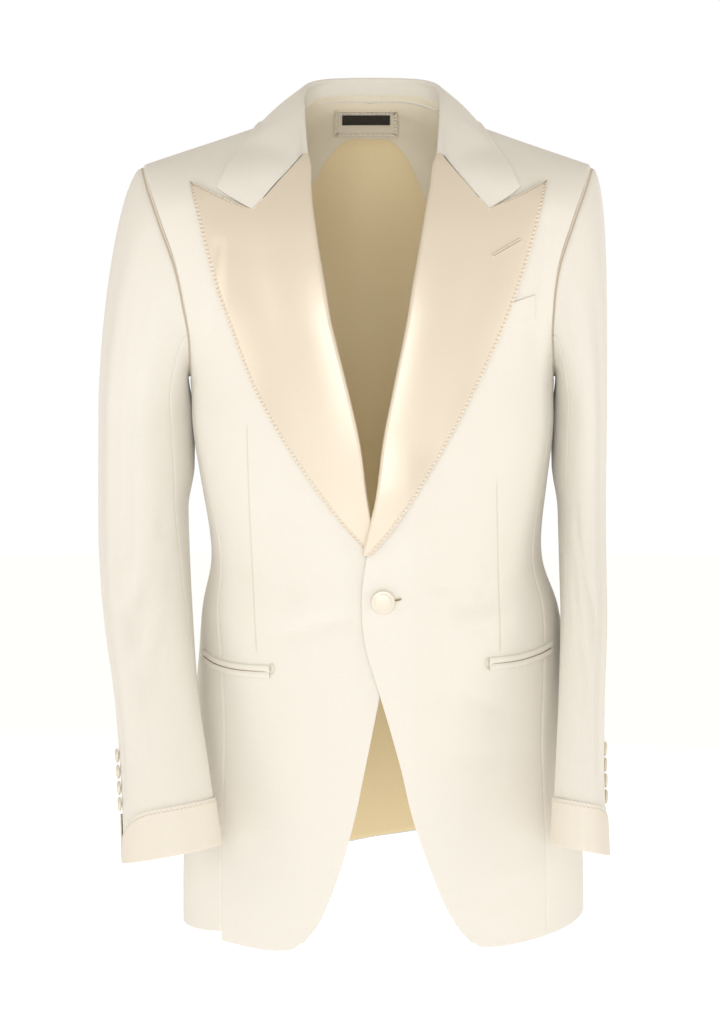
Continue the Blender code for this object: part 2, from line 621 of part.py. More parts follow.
def lapel_face(side):
    """The visible face of a lapel: u from the roll to the outer edge, v from the gorge to the button."""
    place = lapel_place(side)

    def face(u, v):
        way = max(u - ROLL_SHARE, 0) / (1 - ROLL_SHARE)
        x, z, distance = place(way, v)
        height = lapel_height(side, z, distance)
        if u < ROLL_SHARE:
            radius = read(LAPEL_ROLL, SIDE_NAME[side], z)
            turn = math.pi * u / ROLL_SHARE
            x -= side * radius * math.sin(turn)
            height = -CLOTH + radius * (1 - math.cos(turn))
        return lifted(side, x, z, height)

    return face


def by_row(table, column, row):
    """A column's value part way between rows, by the row's number."""
    low = min(max(int(math.floor(row)), 0), len(table) - 2)
    t = row - low
    values = [getattr(table[min(max(low + k, 0), len(table) - 1)], column) for k in (-1, 0, 1, 2)]
    rise, fall = (values[2] - values[0]) / 2, (values[3] - values[1]) / 2
    return (
        values[1] * (1 + 2 * t) * (1 - t) ** 2
        + values[2] * t * t * (3 - 2 * t)
        + rise * t * (1 - t) ** 2
        - fall * t * t * (1 - t)
    )


def clear_of_body(point, lift):
    """Moves a point out until it lies this far over the body's face."""
    z = point.z
    reach = abs(point.x - read(BODY, "centre", z))
    share = min(reach / read(BODY, "half_width", z), NEARLY_SIDE)
    exponent = read(BODY, "square", z)
    flat = (1 - share**exponent) ** (1 / exponent)
    ahead = point.y < SHOULDER_SEAM_Y
    depth = read(BODY, "front" if ahead else "back", z) * flat
    depth += SHOULDER_SEAM_Y * (1 if ahead else -1)
    out = abs(point.y - SHOULDER_SEAM_Y) / depth
    up = max(0.0, 1 - (ridge(reach) - z) / SHOULDER_ROUND)
    least = 1 + lift / mix(depth, SHOULDER_ROUND, ease(up, 0, 1))
    size = math.hypot(out, up)
    if size >= least or size < DEEP_INSIDE:
        return point
    grow = least / size
    moved = Vector(point)
    moved.y = SHOULDER_SEAM_Y + (point.y - SHOULDER_SEAM_Y) * grow
    if up > 0:
        moved.z = point.z + up * (grow - 1) * SHOULDER_ROUND
    return moved


def collar_points(way):
    """The roll, the outer edge and the neck seam of the collar at a place along it (-1 to 1)."""
    side = -1 if way < 0 else 1
    at = abs(way)

    def spot(name):
        x = side * read(COLLAR, name + "_x", at) + (COLLAR_EDGE_SHIFT * at if name == "edge" else 0)
        return Vector((x, read(COLLAR, name + "_y", at), read(COLLAR, name + "_z", at)))

    return spot("roll"), spot("edge"), spot("seam"), read(COLLAR, "full", at)


def collar_face(u, v):
    """The visible face of the collar: u from its right end to its left, v from the stand to the edge."""
    way = min(max(2 * u - 1, -1), 1)
    side = -1 if way < 0 else 1
    roll, edge, seam, full = collar_points(way)
    ahead, behind = collar_points(min(way + COLLAR_STEP, 1))[0], collar_points(max(way - COLLAR_STEP, -1))[0]
    along = (ahead - behind).normalized()
    fall = edge - roll
    length = fall.length
    fall = (fall - along * fall.dot(along)).normalized()
    out = along.cross(fall).normalized()
    radius = COLLAR_ROLL_RADIUS
    middle = roll + fall * radius
    if v < COLLAR_STAND_SHARE:
        return seam.lerp(middle - out * radius, v / COLLAR_STAND_SHARE)
    turn_end = COLLAR_STAND_SHARE + COLLAR_ROLL_SHARE
    if v < turn_end:
        turn = math.pi * (v - COLLAR_STAND_SHARE) / COLLAR_ROLL_SHARE
        return middle - out * radius * math.cos(turn) - fall * radius * math.sin(turn)
    t = (v - turn_end) / (1 - turn_end)
    start = middle + out * radius
    bend = start + out * full + fall * length * COLLAR_BEND
    point = start * (1 - t) ** 2 + bend * 2 * t * (1 - t) + edge * t * t
    end_pull = ease(abs(way), COLLAR_END_START, 1.0)
    if end_pull:
        point = point.lerp(collar_end(side, edge, t), end_pull)
    return clear_of_body(point, COLLAR_LIE + COLLAR_FULLNESS * (1 - t) ** 2)


def collar_end(side, edge, t):
    """A point of the collar's front end: the gorge to the notch, then the end's free edge."""
    along = min(t / COLLAR_NOTCH_SHARE, 1)
    x, z, distance = lapel_place(side)(NOTCH_COLUMN * along, 0)
    point = lifted(side, x, z + GORGE_GAP * (2 - along), lapel_height(side, z, distance))
    if t < COLLAR_NOTCH_SHARE:
        return point
    return point.lerp(edge, (t - COLLAR_NOTCH_SHARE) / (1 - COLLAR_NOTCH_SHARE))


def sleeve_ring(side, turn, z):
    """A point of the sleeve's outer face below the underarm: turn 0 looks away from the body."""
    table = SLEEVE[side]
    at = math.radians(turn)
    out = side * read(table, "half_width", z) * math.cos(at)
    back = read(table, "half_depth", z) * math.sin(at)
    tilt = ease(z, table[0].z, table[-1].z)
    rise = tilt * (SLEEVE_HEM_TILT_X[side] * out + SLEEVE_HEM_TILT_Y[side] * back)
    beyond = min(z - table[-1].z, 0)
    return Vector((read(table, "x", z) + out, read(table, "y", z) + back, max(z, table[-1].z) + rise + beyond))


def armhole_point(side, turn):
    """A point of the armhole: turn 0 is the shoulder point, 90 the back, 180 the underarm."""
    turn %= 360
    column = "back_angle" if turn <= 180 else "front_angle"
    deep = min(turn, 360 - turn)
    point = body(side, read(ARMHOLE, column, deep), read(ARMHOLE, "z", deep))
    point.x += side * ARMHOLE_GAP
    return point


def sleeve_face(side, turn, v):
    """The outer face of a sleeve: v 0 on the armhole, 1 at the hem."""
    table = SLEEVE[side]
    if v >= SLEEVE_HEAD_SHARE:
        down = (v - SLEEVE_HEAD_SHARE) / (1 - SLEEVE_HEAD_SHARE)
        return sleeve_ring(side, turn, mix(table[0].z, table[-1].z, down))
    start, end = armhole_point(side, turn), sleeve_ring(side, turn, table[0].z)
    t = v / SLEEVE_HEAD_SHARE
    high = (1 + math.cos(math.radians(turn))) / 2
    push = mix(SLEEVE_UNDER_OUT, SLEEVE_HEAD_OUT[side], high)
    drop = start.z - end.z
    sway = SLEEVE_HEAD_BACK * math.sin(math.radians(turn)) * high
    leave = Vector((side * push, sway, -SLEEVE_HEAD_DROP * drop * high))
    arrive = Vector((0, 0, -drop))
    return (
        start * (1 + 2 * t) * (1 - t) ** 2
        + end * t * t * (3 - 2 * t)
        + leave * t * (1 - t) ** 2
        - arrive * t * t * (1 - t)
    )


def sleeve_seams(side, v):
    """Where the inner and the outer seam run, in degrees round the sleeve."""
    inner = mix(SLEEVE_FRONT_SEAM - 360, SLEEVE_FRONT_SEAM_HEM - 360, ease(v, *INNER_SEAM_TURNS))
    outer = mix(SLEEVE_BACK_SEAM[side], SLEEVE_BACK_SEAM_HEM[side], ease(v, *OUTER_SEAM_TURNS))
    return inner, outer


def sleeve_piece(side, under):
    def face(u, v):
        inner, outer = sleeve_seams(side, v)
        if under:
            turn = mix(outer + SLEEVE_SEAM_ANGLE, inner + 360 - SLEEVE_SEAM_ANGLE, u)
        else:
            turn = mix(inner + SLEEVE_SEAM_ANGLE, outer - SLEEVE_SEAM_ANGLE, u)
        return sleeve_face(side, turn, v)

    return face


def cuff_face(side):
    """The visible face of a turned-back cuff, round from behind the buttons to in front of them."""
    hem_z = SLEEVE[side][-1].z
    slit = SLEEVE_BACK_SEAM_HEM[side]

    def face(u, v):
        turn = mix(slit + CUFF_OPEN, slit + 360 - CUFF_OPEN, u)
        from_end = (1 - u) * CUFF_LENGTH
        corner = max(0.0, 1 - from_end / CUFF_CORNER)
        height = CUFF_HEIGHT * mix(CUFF_END, 1, math.sqrt(max(0.0, 1 - corner**2)))
        z = hem_z + height * (1 - v)

        def below(a, b):
            return sleeve_ring(side, turn + PROBE_TURN * a, z - PROBE_DROP * b)

        return below(0, 0) - facing(below, 0, 0) * side * CUFF_LIFT

    return face


def button(name, centre, outward, radius, height, collection, segments):
    """A cloth-covered button: a low dome that rolls under at its rim."""
    maker = bmesh.new()
    bmesh.ops.create_uvsphere(maker, u_segments=segments, v_segments=BUTTON_ROWS, radius=radius)
    turn = outward.to_track_quat("Z", "Y")
    for vertex in maker.verts:
        flat = vertex.co.z / radius
        vertex.co.z = height * (0.5 + 0.5 * power(flat, BUTTON_DOME))
        vertex.co = centre + turn @ vertex.co
    return add_object(name, maker, "satin", collection)


def pocket_face(side):
    """The face of a jetted pocket: u along the slit, v across its two jets."""
    name = SIDE_NAME[side]

    def face(u, v):
        x = read(POCKET, name + "_x", u)
        z = read(POCKET, name + "_z", u) + POCKET_HALF * (1 - 2 * v)
        groove = math.exp(-(((v - 0.5) / SLIT_SHARE) ** 2))
        return lifted(side, x, z, mix(JET_LIFT, SLIT_LIFT, groove))

    return face


def welt_face(u, v):
    x = mix(WELT["inner_x"], WELT["outer_x"], u)
    z = mix(WELT["inner_z"], WELT["outer_z"], u) - WELT["height"] * v
    return lifted(LEFT, x, z, WELT_LIFT)


def inside_back(side, depth):
    """A face this far inside the back: u from the middle to the side seam, v down."""
    face = back_panel(side)

    def inside(u, v):
        return face(u, v) - facing(face, u, v) * side * depth

    return inside


def lining_face(u, v):
    """The visible face of the back lining, seen from inside: u from right to left, v from the neck."""
    way = 2 * u - 1
    side = -1 if way < 0 else 1
    top = mix(LINING_TOP, LINING_SIDE_TOP, ease(abs(way), *LINING_NECK))
    down = mix(top, LINING_LOW, max(v, 0) ** LINING_ROWS_RUN)
    pleat = PLEAT_HIGH * math.exp(-((abs(way) * PLEAT_REACH / PLEAT_HALF) ** 2)) * ease(down, *PLEAT_STARTS)
    return inside_back(side, LINING_DEPTH + pleat)(abs(way) * LINING_REACH, down)


def patch_face(width, height, top, depth):
    """A face on the lining at the back of the neck: u across, v down."""
    def face(u, v):
        x = width * (u - 0.5)
        z = top - height * v

        def near(a, b):
            low = z - PROBE_DROP * b
            return body(LEFT, 180 - angle_at(LEFT, x - PROBE_ACROSS * a, low), low)

        return near(0, 0) + facing(near, 0, 0) * depth

    return face


def build_panels(collection):
    for side in (RIGHT, LEFT):
        name = SIDE_NAME[side]
        wall("front_" + name, front_panel(side), FRONT_COLUMNS, PANEL_ROWS, CLOTH, "wool", collection, side)
        wall("side_" + name, side_panel(side), SIDE_COLUMNS, SEAM_ROWS, CLOTH, "wool", collection, side)
        wall("back_" + name, back_panel(side), BACK_COLUMNS, PANEL_ROWS, CLOTH, "wool", collection, -side)


def build_lapels_and_collar(collection):
    for side in (RIGHT, LEFT):
        wall("lapel_" + SIDE_NAME[side], lapel_face(side), *LAPEL_GRID, SATIN, "satin", collection, side)
    wall("collar", collar_face, *COLLAR_GRID, CLOTH, "wool", collection, -1)


def build_sleeve(side, collection):
    name = SIDE_NAME[side]
    wall("sleeve_top_" + name, sleeve_piece(side, False), *TOP_GRID, CLOTH, "wool", collection, side)
    wall("sleeve_under_" + name, sleeve_piece(side, True), *UNDER_GRID, CLOTH, "wool", collection, side)
    wall("cuff_" + name, cuff_face(side), *CUFF_GRID, SATIN, "satin", collection, side)
    turn = SLEEVE_BACK_SEAM_HEM[side]
    for i in range(SLEEVE_BUTTONS):
        z = SLEEVE[side][-1].z + SLEEVE_BUTTON_LOW + i * SLEEVE_BUTTON_PITCH

        def near(a, b):
            return sleeve_ring(side, turn + PROBE_TURN * a, z - PROBE_DROP * b)

        outward = facing(near, 0, 0) * -side
        centre = near(0, 0) + outward * SEAM_GAP
        label = f"sleeve_button_{name}_{i + 1}"
        button(label, centre, outward, SLEEVE_BUTTON_RADIUS, SLEEVE_BUTTON_HEIGHT, collection, SLEEVE_BUTTON_SEGMENTS)


def build_pockets(collection):
    for side in (RIGHT, LEFT):
        wall("pocket_" + SIDE_NAME[side], pocket_face(side), *POCKET_GRID, SATIN, "wool", collection, -side)
    wall("breast_welt", welt_face, *WELT_GRID, SATIN, "wool", collection, 1)


def build_inside(collection):
    wall("back_lining", lining_face, *LINING_GRID, LINING, "lining", collection, 1)
    patch = patch_face(PATCH_WIDTH, PATCH_HEIGHT, PATCH_TOP, PATCH_DEPTH)
    wall("neck_patch", patch, *PATCH_GRID, LINING, "wool", collection, 1)
    label = patch_face(LABEL_WIDTH, LABEL_HEIGHT, LABEL_TOP, LABEL_DEPTH)
    wall("neck_label", label, *LABEL_GRID, LABEL_THICK, "label", collection, 1)


def main():
    clear_scene()
    collection = bpy.data.collections.new("dinner_jacket")
    bpy.context.scene.collection.children.link(collection)
    build_panels(collection)
    build_lapels_and_collar(collection)
    for side in (RIGHT, LEFT):
        build_sleeve(side, collection)
    build_pockets(collection)
    centre = lifted(LEFT, BUTTON_X, BUTTON_Z, SEAM_GAP)
    outward = (lifted(LEFT, BUTTON_X, BUTTON_Z, 0.01) - centre).normalized()
    button("front_button", centre, outward, BUTTON_RADIUS, BUTTON_HEIGHT, collection, BUTTON_SEGMENTS)
    build_inside(collection)


main()
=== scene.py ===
"""The finished look of the dinner jacket: wool crepe panels, satin lapels and cuffs, sewing and creases.

Metres, +Z up, as its frame. The front faces -Y and +X is the wearer's left. Every piece of cloth is
worked out again from the same sizes as its solid, with a finer grid and with smaller creases.
"""

import math
from collections import namedtuple

import bmesh
import bpy
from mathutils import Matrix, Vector


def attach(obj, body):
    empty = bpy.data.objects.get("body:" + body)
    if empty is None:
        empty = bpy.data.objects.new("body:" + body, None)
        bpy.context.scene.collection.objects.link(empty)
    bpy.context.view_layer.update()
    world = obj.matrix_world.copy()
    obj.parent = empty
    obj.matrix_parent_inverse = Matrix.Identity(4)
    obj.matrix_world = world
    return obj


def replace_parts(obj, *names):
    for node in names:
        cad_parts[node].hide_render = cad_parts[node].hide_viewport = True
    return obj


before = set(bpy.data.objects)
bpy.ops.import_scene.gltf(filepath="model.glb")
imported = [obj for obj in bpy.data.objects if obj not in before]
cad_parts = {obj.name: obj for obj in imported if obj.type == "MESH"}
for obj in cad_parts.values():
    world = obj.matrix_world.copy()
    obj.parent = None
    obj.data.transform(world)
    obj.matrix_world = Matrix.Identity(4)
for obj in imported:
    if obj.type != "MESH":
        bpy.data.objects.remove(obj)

bl_info = {
    "name": "Dinner jacket",
    "version": (1, 0, 0),
    "blender": (4, 5, 0),
    "location": "View3D > Sidebar > Jacket",
    "description": "Sews the pieces of a peak-lapel dinner jacket over its frame",
    "category": "Object",
}

RIGHT, LEFT = -1, 1  # the wearer's sides, as signs of X
SIDE_NAME = {RIGHT: "right", LEFT: "left"}

CLOTH = 0.0015  # thickness of wool crepe with its canvas
SATIN = 0.0012
LINING = 0.0010
SEAM_GAP = 0.0003
TURN_STEP = 0.0004  # step in u or v that gives a face's direction
# Degrees, and metres down and across, for a whole step of u or v round a place on the cloth.
PROBE_TURN, PROBE_DROP, PROBE_ACROSS = 60, 0.3, 0.05

SHOULDER_SLOPE = 0.347
NECK_HALF = 0.072  # where the shoulder seam meets the neck, from the centre line
NECK_RISE, NECK_ROUND = 0.033, 2.6
SHOULDER_ROUND = 0.060  # height over which the cloth turns over the shoulder
SHOULDER_SEAM_Y = 0.005
RIDGE_ROUNDS = 5  # rounds that settle the shoulder line on the body's own width
NECK_BACK_Y = 0.062
NECK_BACK_Z = 0.0165

OVERLAP_LIFT = 0.0048  # how far the wearer's left front lies out over the right one
OVERLAP_NEAR, OVERLAP_FAR = 0.030, 0.070  # from full lift to none, in X
OVERLAP_START, OVERLAP_FULL, OVERLAP_LEAVE, OVERLAP_END = -0.300, -0.360, -0.560, -0.680

# One row for each level of the body: where its middle is, half its width, how far the front and
# the back stand out, how square the section is (2 is an ellipse), and where it is widest in Y.
Level = namedtuple("Level", "z centre half_width front back square side_y")
BODY = (
    Level(0.040, -0.001, 0.232, 0.040, 0.080, 2.30, 0.000),
    Level(0.000, -0.002, 0.232, 0.045, 0.088, 2.30, 0.000),
    Level(-0.030, -0.004, 0.232, 0.060, 0.098, 2.30, 0.000),
    Level(-0.060, -0.005, 0.230, 0.087, 0.106, 2.30, 0.000),
    Level(-0.100, -0.0055, 0.224, 0.109, 0.115, 2.30, 0.000),
    Level(-0.140, -0.005, 0.214, 0.121, 0.122, 2.30, 0.000),
    Level(-0.180, -0.0035, 0.199, 0.129, 0.126, 2.30, 0.000),
    Level(-0.220, -0.001, 0.182, 0.133, 0.127, 2.30, 0.000),
    Level(-0.250, 0.000, 0.1740, 0.134, 0.125, 2.30, 0.000),
    Level(-0.300, 0.001, 0.1722, 0.134, 0.119, 2.25, 0.000),
    Level(-0.350, 0.002, 0.1655, 0.132, 0.108, 2.20, 0.000),
    Level(-0.400, 0.0035, 0.1590, 0.130, 0.100, 2.15, 0.004),
    Level(-0.430, 0.005, 0.1600, 0.128, 0.099, 2.15, 0.012),
    Level(-0.470, 0.008, 0.1715, 0.1265, 0.106, 2.15, 0.022),
    Level(-0.520, 0.010, 0.1780, 0.125, 0.120, 2.10, 0.030),
    Level(-0.600, 0.0105, 0.1860, 0.123, 0.135, 2.10, 0.030),
    Level(-0.700, 0.011, 0.1940, 0.120, 0.147, 2.10, 0.028),
    Level(-0.800, 0.0115, 0.1955, 0.115, 0.153, 2.10, 0.025),
)

# The edge of each front from the neck down: the line the lapel rolls on, then the closing edge
# and the cutaway.
Edge = namedtuple("Edge", "z right left")
FRONT_EDGE = (
    Edge(0.010, -0.0645, 0.0625),
    Edge(-0.030, -0.0610, 0.0598),
    Edge(-0.045, -0.0590, 0.0588),
    Edge(-0.090, -0.0556, 0.0505),
    Edge(-0.130, -0.0500, 0.0435),
    Edge(-0.170, -0.0432, 0.0363),
    Edge(-0.200, -0.0380, 0.0315),
    Edge(-0.252, -0.0250, 0.0210),
    Edge(-0.306, -0.0124, 0.0104),
    Edge(-0.357, -0.0040, 0.0035),
    Edge(-0.404, 0.0045, -0.0060),
    Edge(-0.444, 0.0150, -0.0097),
    Edge(-0.472, 0.0185, -0.0097),
    Edge(-0.500, 0.0155, -0.0060),
    Edge(-0.5425, 0.0070, 0.0070),
    Edge(-0.607, -0.0060, 0.0254),
    Edge(-0.658, -0.0165, 0.0375),
    Edge(-0.7035, -0.0290, 0.0533),
    Edge(-0.7385, -0.0415, 0.0674),
    Edge(-0.760, -0.0515, 0.0790),
    Edge(-0.7765, -0.0645, 0.0925),
)

# The hem's height by the angle round the body: 0 is the middle of the front, 180 of the back.
Hem = namedtuple("Hem", "angle right left")
HEM = (
    Hem(15, -0.7700, -0.7720),
    Hem(21, -0.7775, -0.7770),
    Hem(26, -0.7840, -0.7810),
    Hem(34, -0.7860, -0.7820),
    Hem(50, -0.7830, -0.7780),
    Hem(70, -0.7810, -0.7715),
    Hem(90, -0.7780, -0.7640),
    Hem(112, -0.7680, -0.7420),
    Hem(135, -0.7510, -0.7210),
    Hem(160, -0.7330, -0.7105),
    Hem(180, -0.7190, -0.7190),
)
SIDE_HEM_RISE = {RIGHT: 0.009, LEFT: 0.0}  # the right side panel hangs a little short at its front
SIDE_HEM_FADE = 3  # how fast that fades towards the back, as a power

# The largest folds of a front: from (x1, z1) to (x2, z2), how wide to each side, and how far the
# cloth stands out (or in, below 0).
Fold = namedtuple("Fold", "side x1 z1 x2 z2 half height")
FOLDS = (
    Fold(LEFT, 0.086, -0.4600, 0.136, -0.4430, 0.0130, -0.0026),
    Fold(LEFT, 0.090, -0.4860, 0.134, -0.4770, 0.0140, 0.0012),
    Fold(LEFT, 0.060, -0.5440, 0.115, -0.5550, 0.0150, -0.0014),
    Fold(LEFT, 0.115, -0.7400, 0.140, -0.7290, 0.0100, -0.0014),
    Fold(RIGHT, -0.096, -0.3750, -0.076, -0.4450, 0.0130, -0.0026),
    Fold(RIGHT, -0.030, -0.4720, -0.085, -0.4900, 0.0120, -0.0012),
)

# The armhole from the shoulder point (turn 0) down to the underarm (turn 180). The rows beyond
# these two make the loop smooth there.
Arm = namedtuple("Arm", "turn z front_angle back_angle")
SHOULDER_TIP_Z = -0.0496
ARMHOLE = (
    Arm(-30, -0.0690, 71.0, 111.0),
    Arm(0, SHOULDER_TIP_Z, 67.0, 113.0),
    Arm(30, -0.0700, 63.0, 115.0),
    Arm(60, -0.1050, 58.5, 117.5),
    Arm(90, -0.1515, 56.0, 116.5),
    Arm(120, -0.2000, 62.5, 109.0),
    Arm(150, -0.2365, 75.0, 98.0),
    Arm(180, -0.2500, 87.0, 87.0),
    Arm(210, -0.2365, 98.0, 75.0),
)
SIDE_PANEL_TURN = 150
# How late each panel's rows turn to the line of its hem or armhole, as a power of the way there.
FRONT_HEM_RUN, SIDE_HEM_RUN, BACK_HEM_RUN, UNDERARM_RUN = 3, 12, 2, 8
CORNER_SHARE = 0.1  # share of a front's width over which its corner turns into the hem

# The two long seams of each side panel, by the angle round the body.
Seam = namedtuple("Seam", "z front_angle back_angle")
SEAMS = (
    Seam(-0.2365, 75.0, 98.0),
    Seam(-0.300, 73.0, 107.0),
    Seam(-0.350, 71.0, 112.0),
    Seam(-0.420, 67.0, 114.0),
    Seam(-0.520, 58.0, 113.0),
    Seam(-0.600, 52.5, 112.0),
    Seam(-0.800, 51.0, 112.0),
)

# The lapel: where a line across it leaves the roll, and where it reaches the outer edge.
Lapel = namedtuple("Lapel", "roll_z right_x right_z left_x left_z")
LAPEL = (
    Lapel(-0.047, -0.1695, -0.0690, 0.1620, -0.0680),
    Lapel(-0.085, -0.1600, -0.1050, 0.1540, -0.0990),
    Lapel(-0.130, -0.1480, -0.1520, 0.1415, -0.1430),
    Lapel(-0.180, -0.1310, -0.2010, 0.1225, -0.1960),
    Lapel(-0.230, -0.1100, -0.2560, 0.1030, -0.2400),
    Lapel(-0.280, -0.0840, -0.3040, 0.0800, -0.2870),
    Lapel(-0.330, -0.0540, -0.3505, 0.0515, -0.3370),
    Lapel(-0.375, -0.0280, -0.3850, 0.0220, -0.3840),
    Lapel(-0.412, -0.0060, -0.4080, -0.0020, -0.4130),
)
NOTCH_SHARE = 0.44  # the notch lies this far along the lapel's top line
NOTCH_DIP = 0.0415
NOTCH_FADE = 0.16
NOTCH_COLUMN = 0.5

# How the lapel rolls: radius of its visible face at the roll, and its height over the front.
Roll = namedtuple("Roll", "z right left")
LAPEL_ROLL = (
    Roll(-0.040, 0.0040, 0.0040),
    Roll(-0.200, 0.0042, 0.0042),
    Roll(-0.310, 0.0036, 0.0040),
    Roll(-0.365, 0.0021, 0.0034),
    Roll(-0.420, 0.0019, 0.0024),
)
LAPEL_LIE = {RIGHT: 0.0030, LEFT: 0.0036}  # outer face over the front, at the lapel's edge
LAPEL_LIE_LOW = {RIGHT: 0.0022, LEFT: 0.0030}
LAPEL_SETTLE = 0.045  # distance over which the roll settles to that height
ROLL_SHARE = 0.25  # share of the lapel's columns that go round the roll

# The collar from the middle of the back (0) to its front end (1): the roll, the outer edge,
# the neck seam that the stand rises from, and how full the fall is.
Collar = namedtuple("Collar", "way roll_x roll_y roll_z edge_x edge_y edge_z seam_x seam_y seam_z full")
COLLAR = (
    Collar(0.00, 0.0000, 0.0640, 0.0385, 0.0000, 0.0930, -0.0060, 0.0000, 0.0590, 0.0170, 0.0060),
    Collar(0.20, 0.0260, 0.0610, 0.0378, 0.0400, 0.0890, -0.0075, 0.0265, 0.0545, 0.0170, 0.0060),
    Collar(0.38, 0.0480, 0.0480, 0.0350, 0.0760, 0.0690, -0.0115, 0.0480, 0.0430, 0.0138, 0.0050),
    Collar(0.52, 0.0600, 0.0270, 0.0290, 0.0950, 0.0370, -0.0120, 0.0630, 0.0250, 0.0062, 0.0040),
    Collar(0.64, 0.0640, 0.0040, 0.0190, 0.1030, 0.0050, -0.0085, 0.0663, 0.0050, 0.0018, 0.0030),
    Collar(0.76, 0.0635, -0.0240, 0.0020, 0.1120, -0.0240, -0.0230, 0.0655, -0.0215, -0.0080, 0.0030),
    Collar(0.88, 0.0618, -0.0500, -0.0205, 0.1265, -0.0530, -0.0460, 0.0640, -0.0455, -0.0265, 0.0030),
    Collar(1.00, 0.0595, -0.0728, -0.0440, 0.1404, -0.0700, -0.0753, 0.0637, -0.0688, -0.0442, 0.0030),
)
COLLAR_EDGE_SHIFT = -0.0036  # the collar lies a little to the right at its front ends
COLLAR_ROLL_RADIUS = 0.0030
COLLAR_NOTCH_SHARE = 0.57  # the notch lies this far along the collar's front end
ARMHOLE_GAP = 0.0002
LAPEL_GAP = 0.0009  # between a front's cut edge and the start of its lapel's roll
LAPEL_GAP_TOP = 1.5  # how much wider it gets at the gorge
GORGE_REACH, BREAK_REACH = (-0.080, -0.050), (-0.360, -0.400)  # heights over which it widens
LOW_LAPEL = (-0.330, -0.375)  # heights over which the lapel thins out towards the button
GORGE_GAP = 0.0015
NEARLY_SIDE, DEEP_INSIDE = 0.999, 0.2  # limits within which a point is moved out of the body
COLLAR_STAND_SHARE = 0.30
COLLAR_ROLL_SHARE = 0.20
COLLAR_LIE = 0.0034
COLLAR_FULLNESS = 0.004  # how much higher the fall stands at its roll
COLLAR_BEND = 0.4  # where the fall bends, as a share of its length
COLLAR_END_START = 0.80  # way along the collar from which its fall meets the lapel
COLLAR_STEP = 0.02  # step along the collar that gives its direction

# The sleeves from the underarm to the hem: the middle of each ring and its half sizes.
Ring = namedtuple("Ring", "z x y half_width half_depth")
SLEEVE = {
    RIGHT: (
        Ring(-0.290, -0.2195, 0.010, 0.0430, 0.074),
        Ring(-0.360, -0.2198, 0.006, 0.0430, 0.073),
        Ring(-0.420, -0.2180, -0.006, 0.0432, 0.068),
        Ring(-0.480, -0.2128, -0.028, 0.0420, 0.061),
        Ring(-0.550, -0.2035, -0.058, 0.0392, 0.053),
        Ring(-0.620, -0.1940, -0.088, 0.0410, 0.046),
        Ring(-0.6905, -0.1858, -0.116, 0.0445, 0.042),
    ),
    LEFT: (
        Ring(-0.290, 0.2012, 0.012, 0.0237, 0.086),
        Ring(-0.360, 0.2010, 0.004, 0.0225, 0.083),
        Ring(-0.420, 0.2006, -0.018, 0.0218, 0.076),
        Ring(-0.480, 0.1998, -0.050, 0.0215, 0.066),
        Ring(-0.550, 0.1956, -0.083, 0.0210, 0.059),
        Ring(-0.620, 0.1926, -0.108, 0.0225, 0.055),
        Ring(-0.6845, 0.1918, -0.129, 0.0252, 0.053),
    ),
}
SLEEVE_HEM_TILT_X = {RIGHT: 0.19, LEFT: -0.20}
SLEEVE_HEM_TILT_Y = {RIGHT: -0.11, LEFT: -0.15}
SLEEVE_HEAD_SHARE = 0.36  # share of a sleeve's rows above the first ring
SLEEVE_HEAD_OUT = {RIGHT: 0.075, LEFT: 0.055}  # how hard the sleeve head is pushed out
SLEEVE_UNDER_OUT = 0.012
SLEEVE_HEAD_BACK, SLEEVE_HEAD_DROP = 0.02, 0.25  # how the head leaves the armhole
SLEEVE_FRONT_SEAM = 232  # where the inner seam runs, in degrees round the sleeve
SLEEVE_FRONT_SEAM_HEM = 188
SLEEVE_BACK_SEAM = 100  # and the outer one
SLEEVE_BACK_SEAM_HEM = {RIGHT: -8, LEFT: 8}  # the outer seam turns out to the buttons at the hem

CUFF_HEIGHT = 0.042
CUFF_CORNER = 0.051  # how far the round end reaches along the hem
CUFF_LENGTH = 0.27
CUFF_END = 0.12  # share of its height that the round end starts from
CUFF_OPEN = 3.0  # half the gap between the cuff's ends, in degrees

BUTTON_RADIUS = 0.0111
BUTTON_HEIGHT = 0.0052
BUTTON_X, BUTTON_Z = 0.0096, -0.4551
SLEEVE_BUTTON_RADIUS = 0.0068
SLEEVE_BUTTON_HEIGHT = 0.0038
SLEEVE_BUTTONS = 4
SLEEVE_BUTTON_PITCH = 0.0140
SLEEVE_BUTTON_LOW = 0.051  # the lowest one above the hem

# The jetted pockets: the curve of the slit from the side to its front end.
Slit = namedtuple("Slit", "share right_x right_z left_x left_z")
POCKET = (
    Slit(0.0, -0.1610, -0.5165, 0.1700, -0.5065),
    Slit(0.3, -0.1480, -0.5215, 0.1570, -0.5105),
    Slit(0.6, -0.1280, -0.5238, 0.1370, -0.5142),
    Slit(1.0, -0.0950, -0.5232, 0.1080, -0.5155),
)
POCKET_HALF = 0.0062

WELT = {"inner_x": 0.100, "inner_z": -0.1905, "outer_x": 0.1500, "outer_z": -0.1735, "height": 0.022}

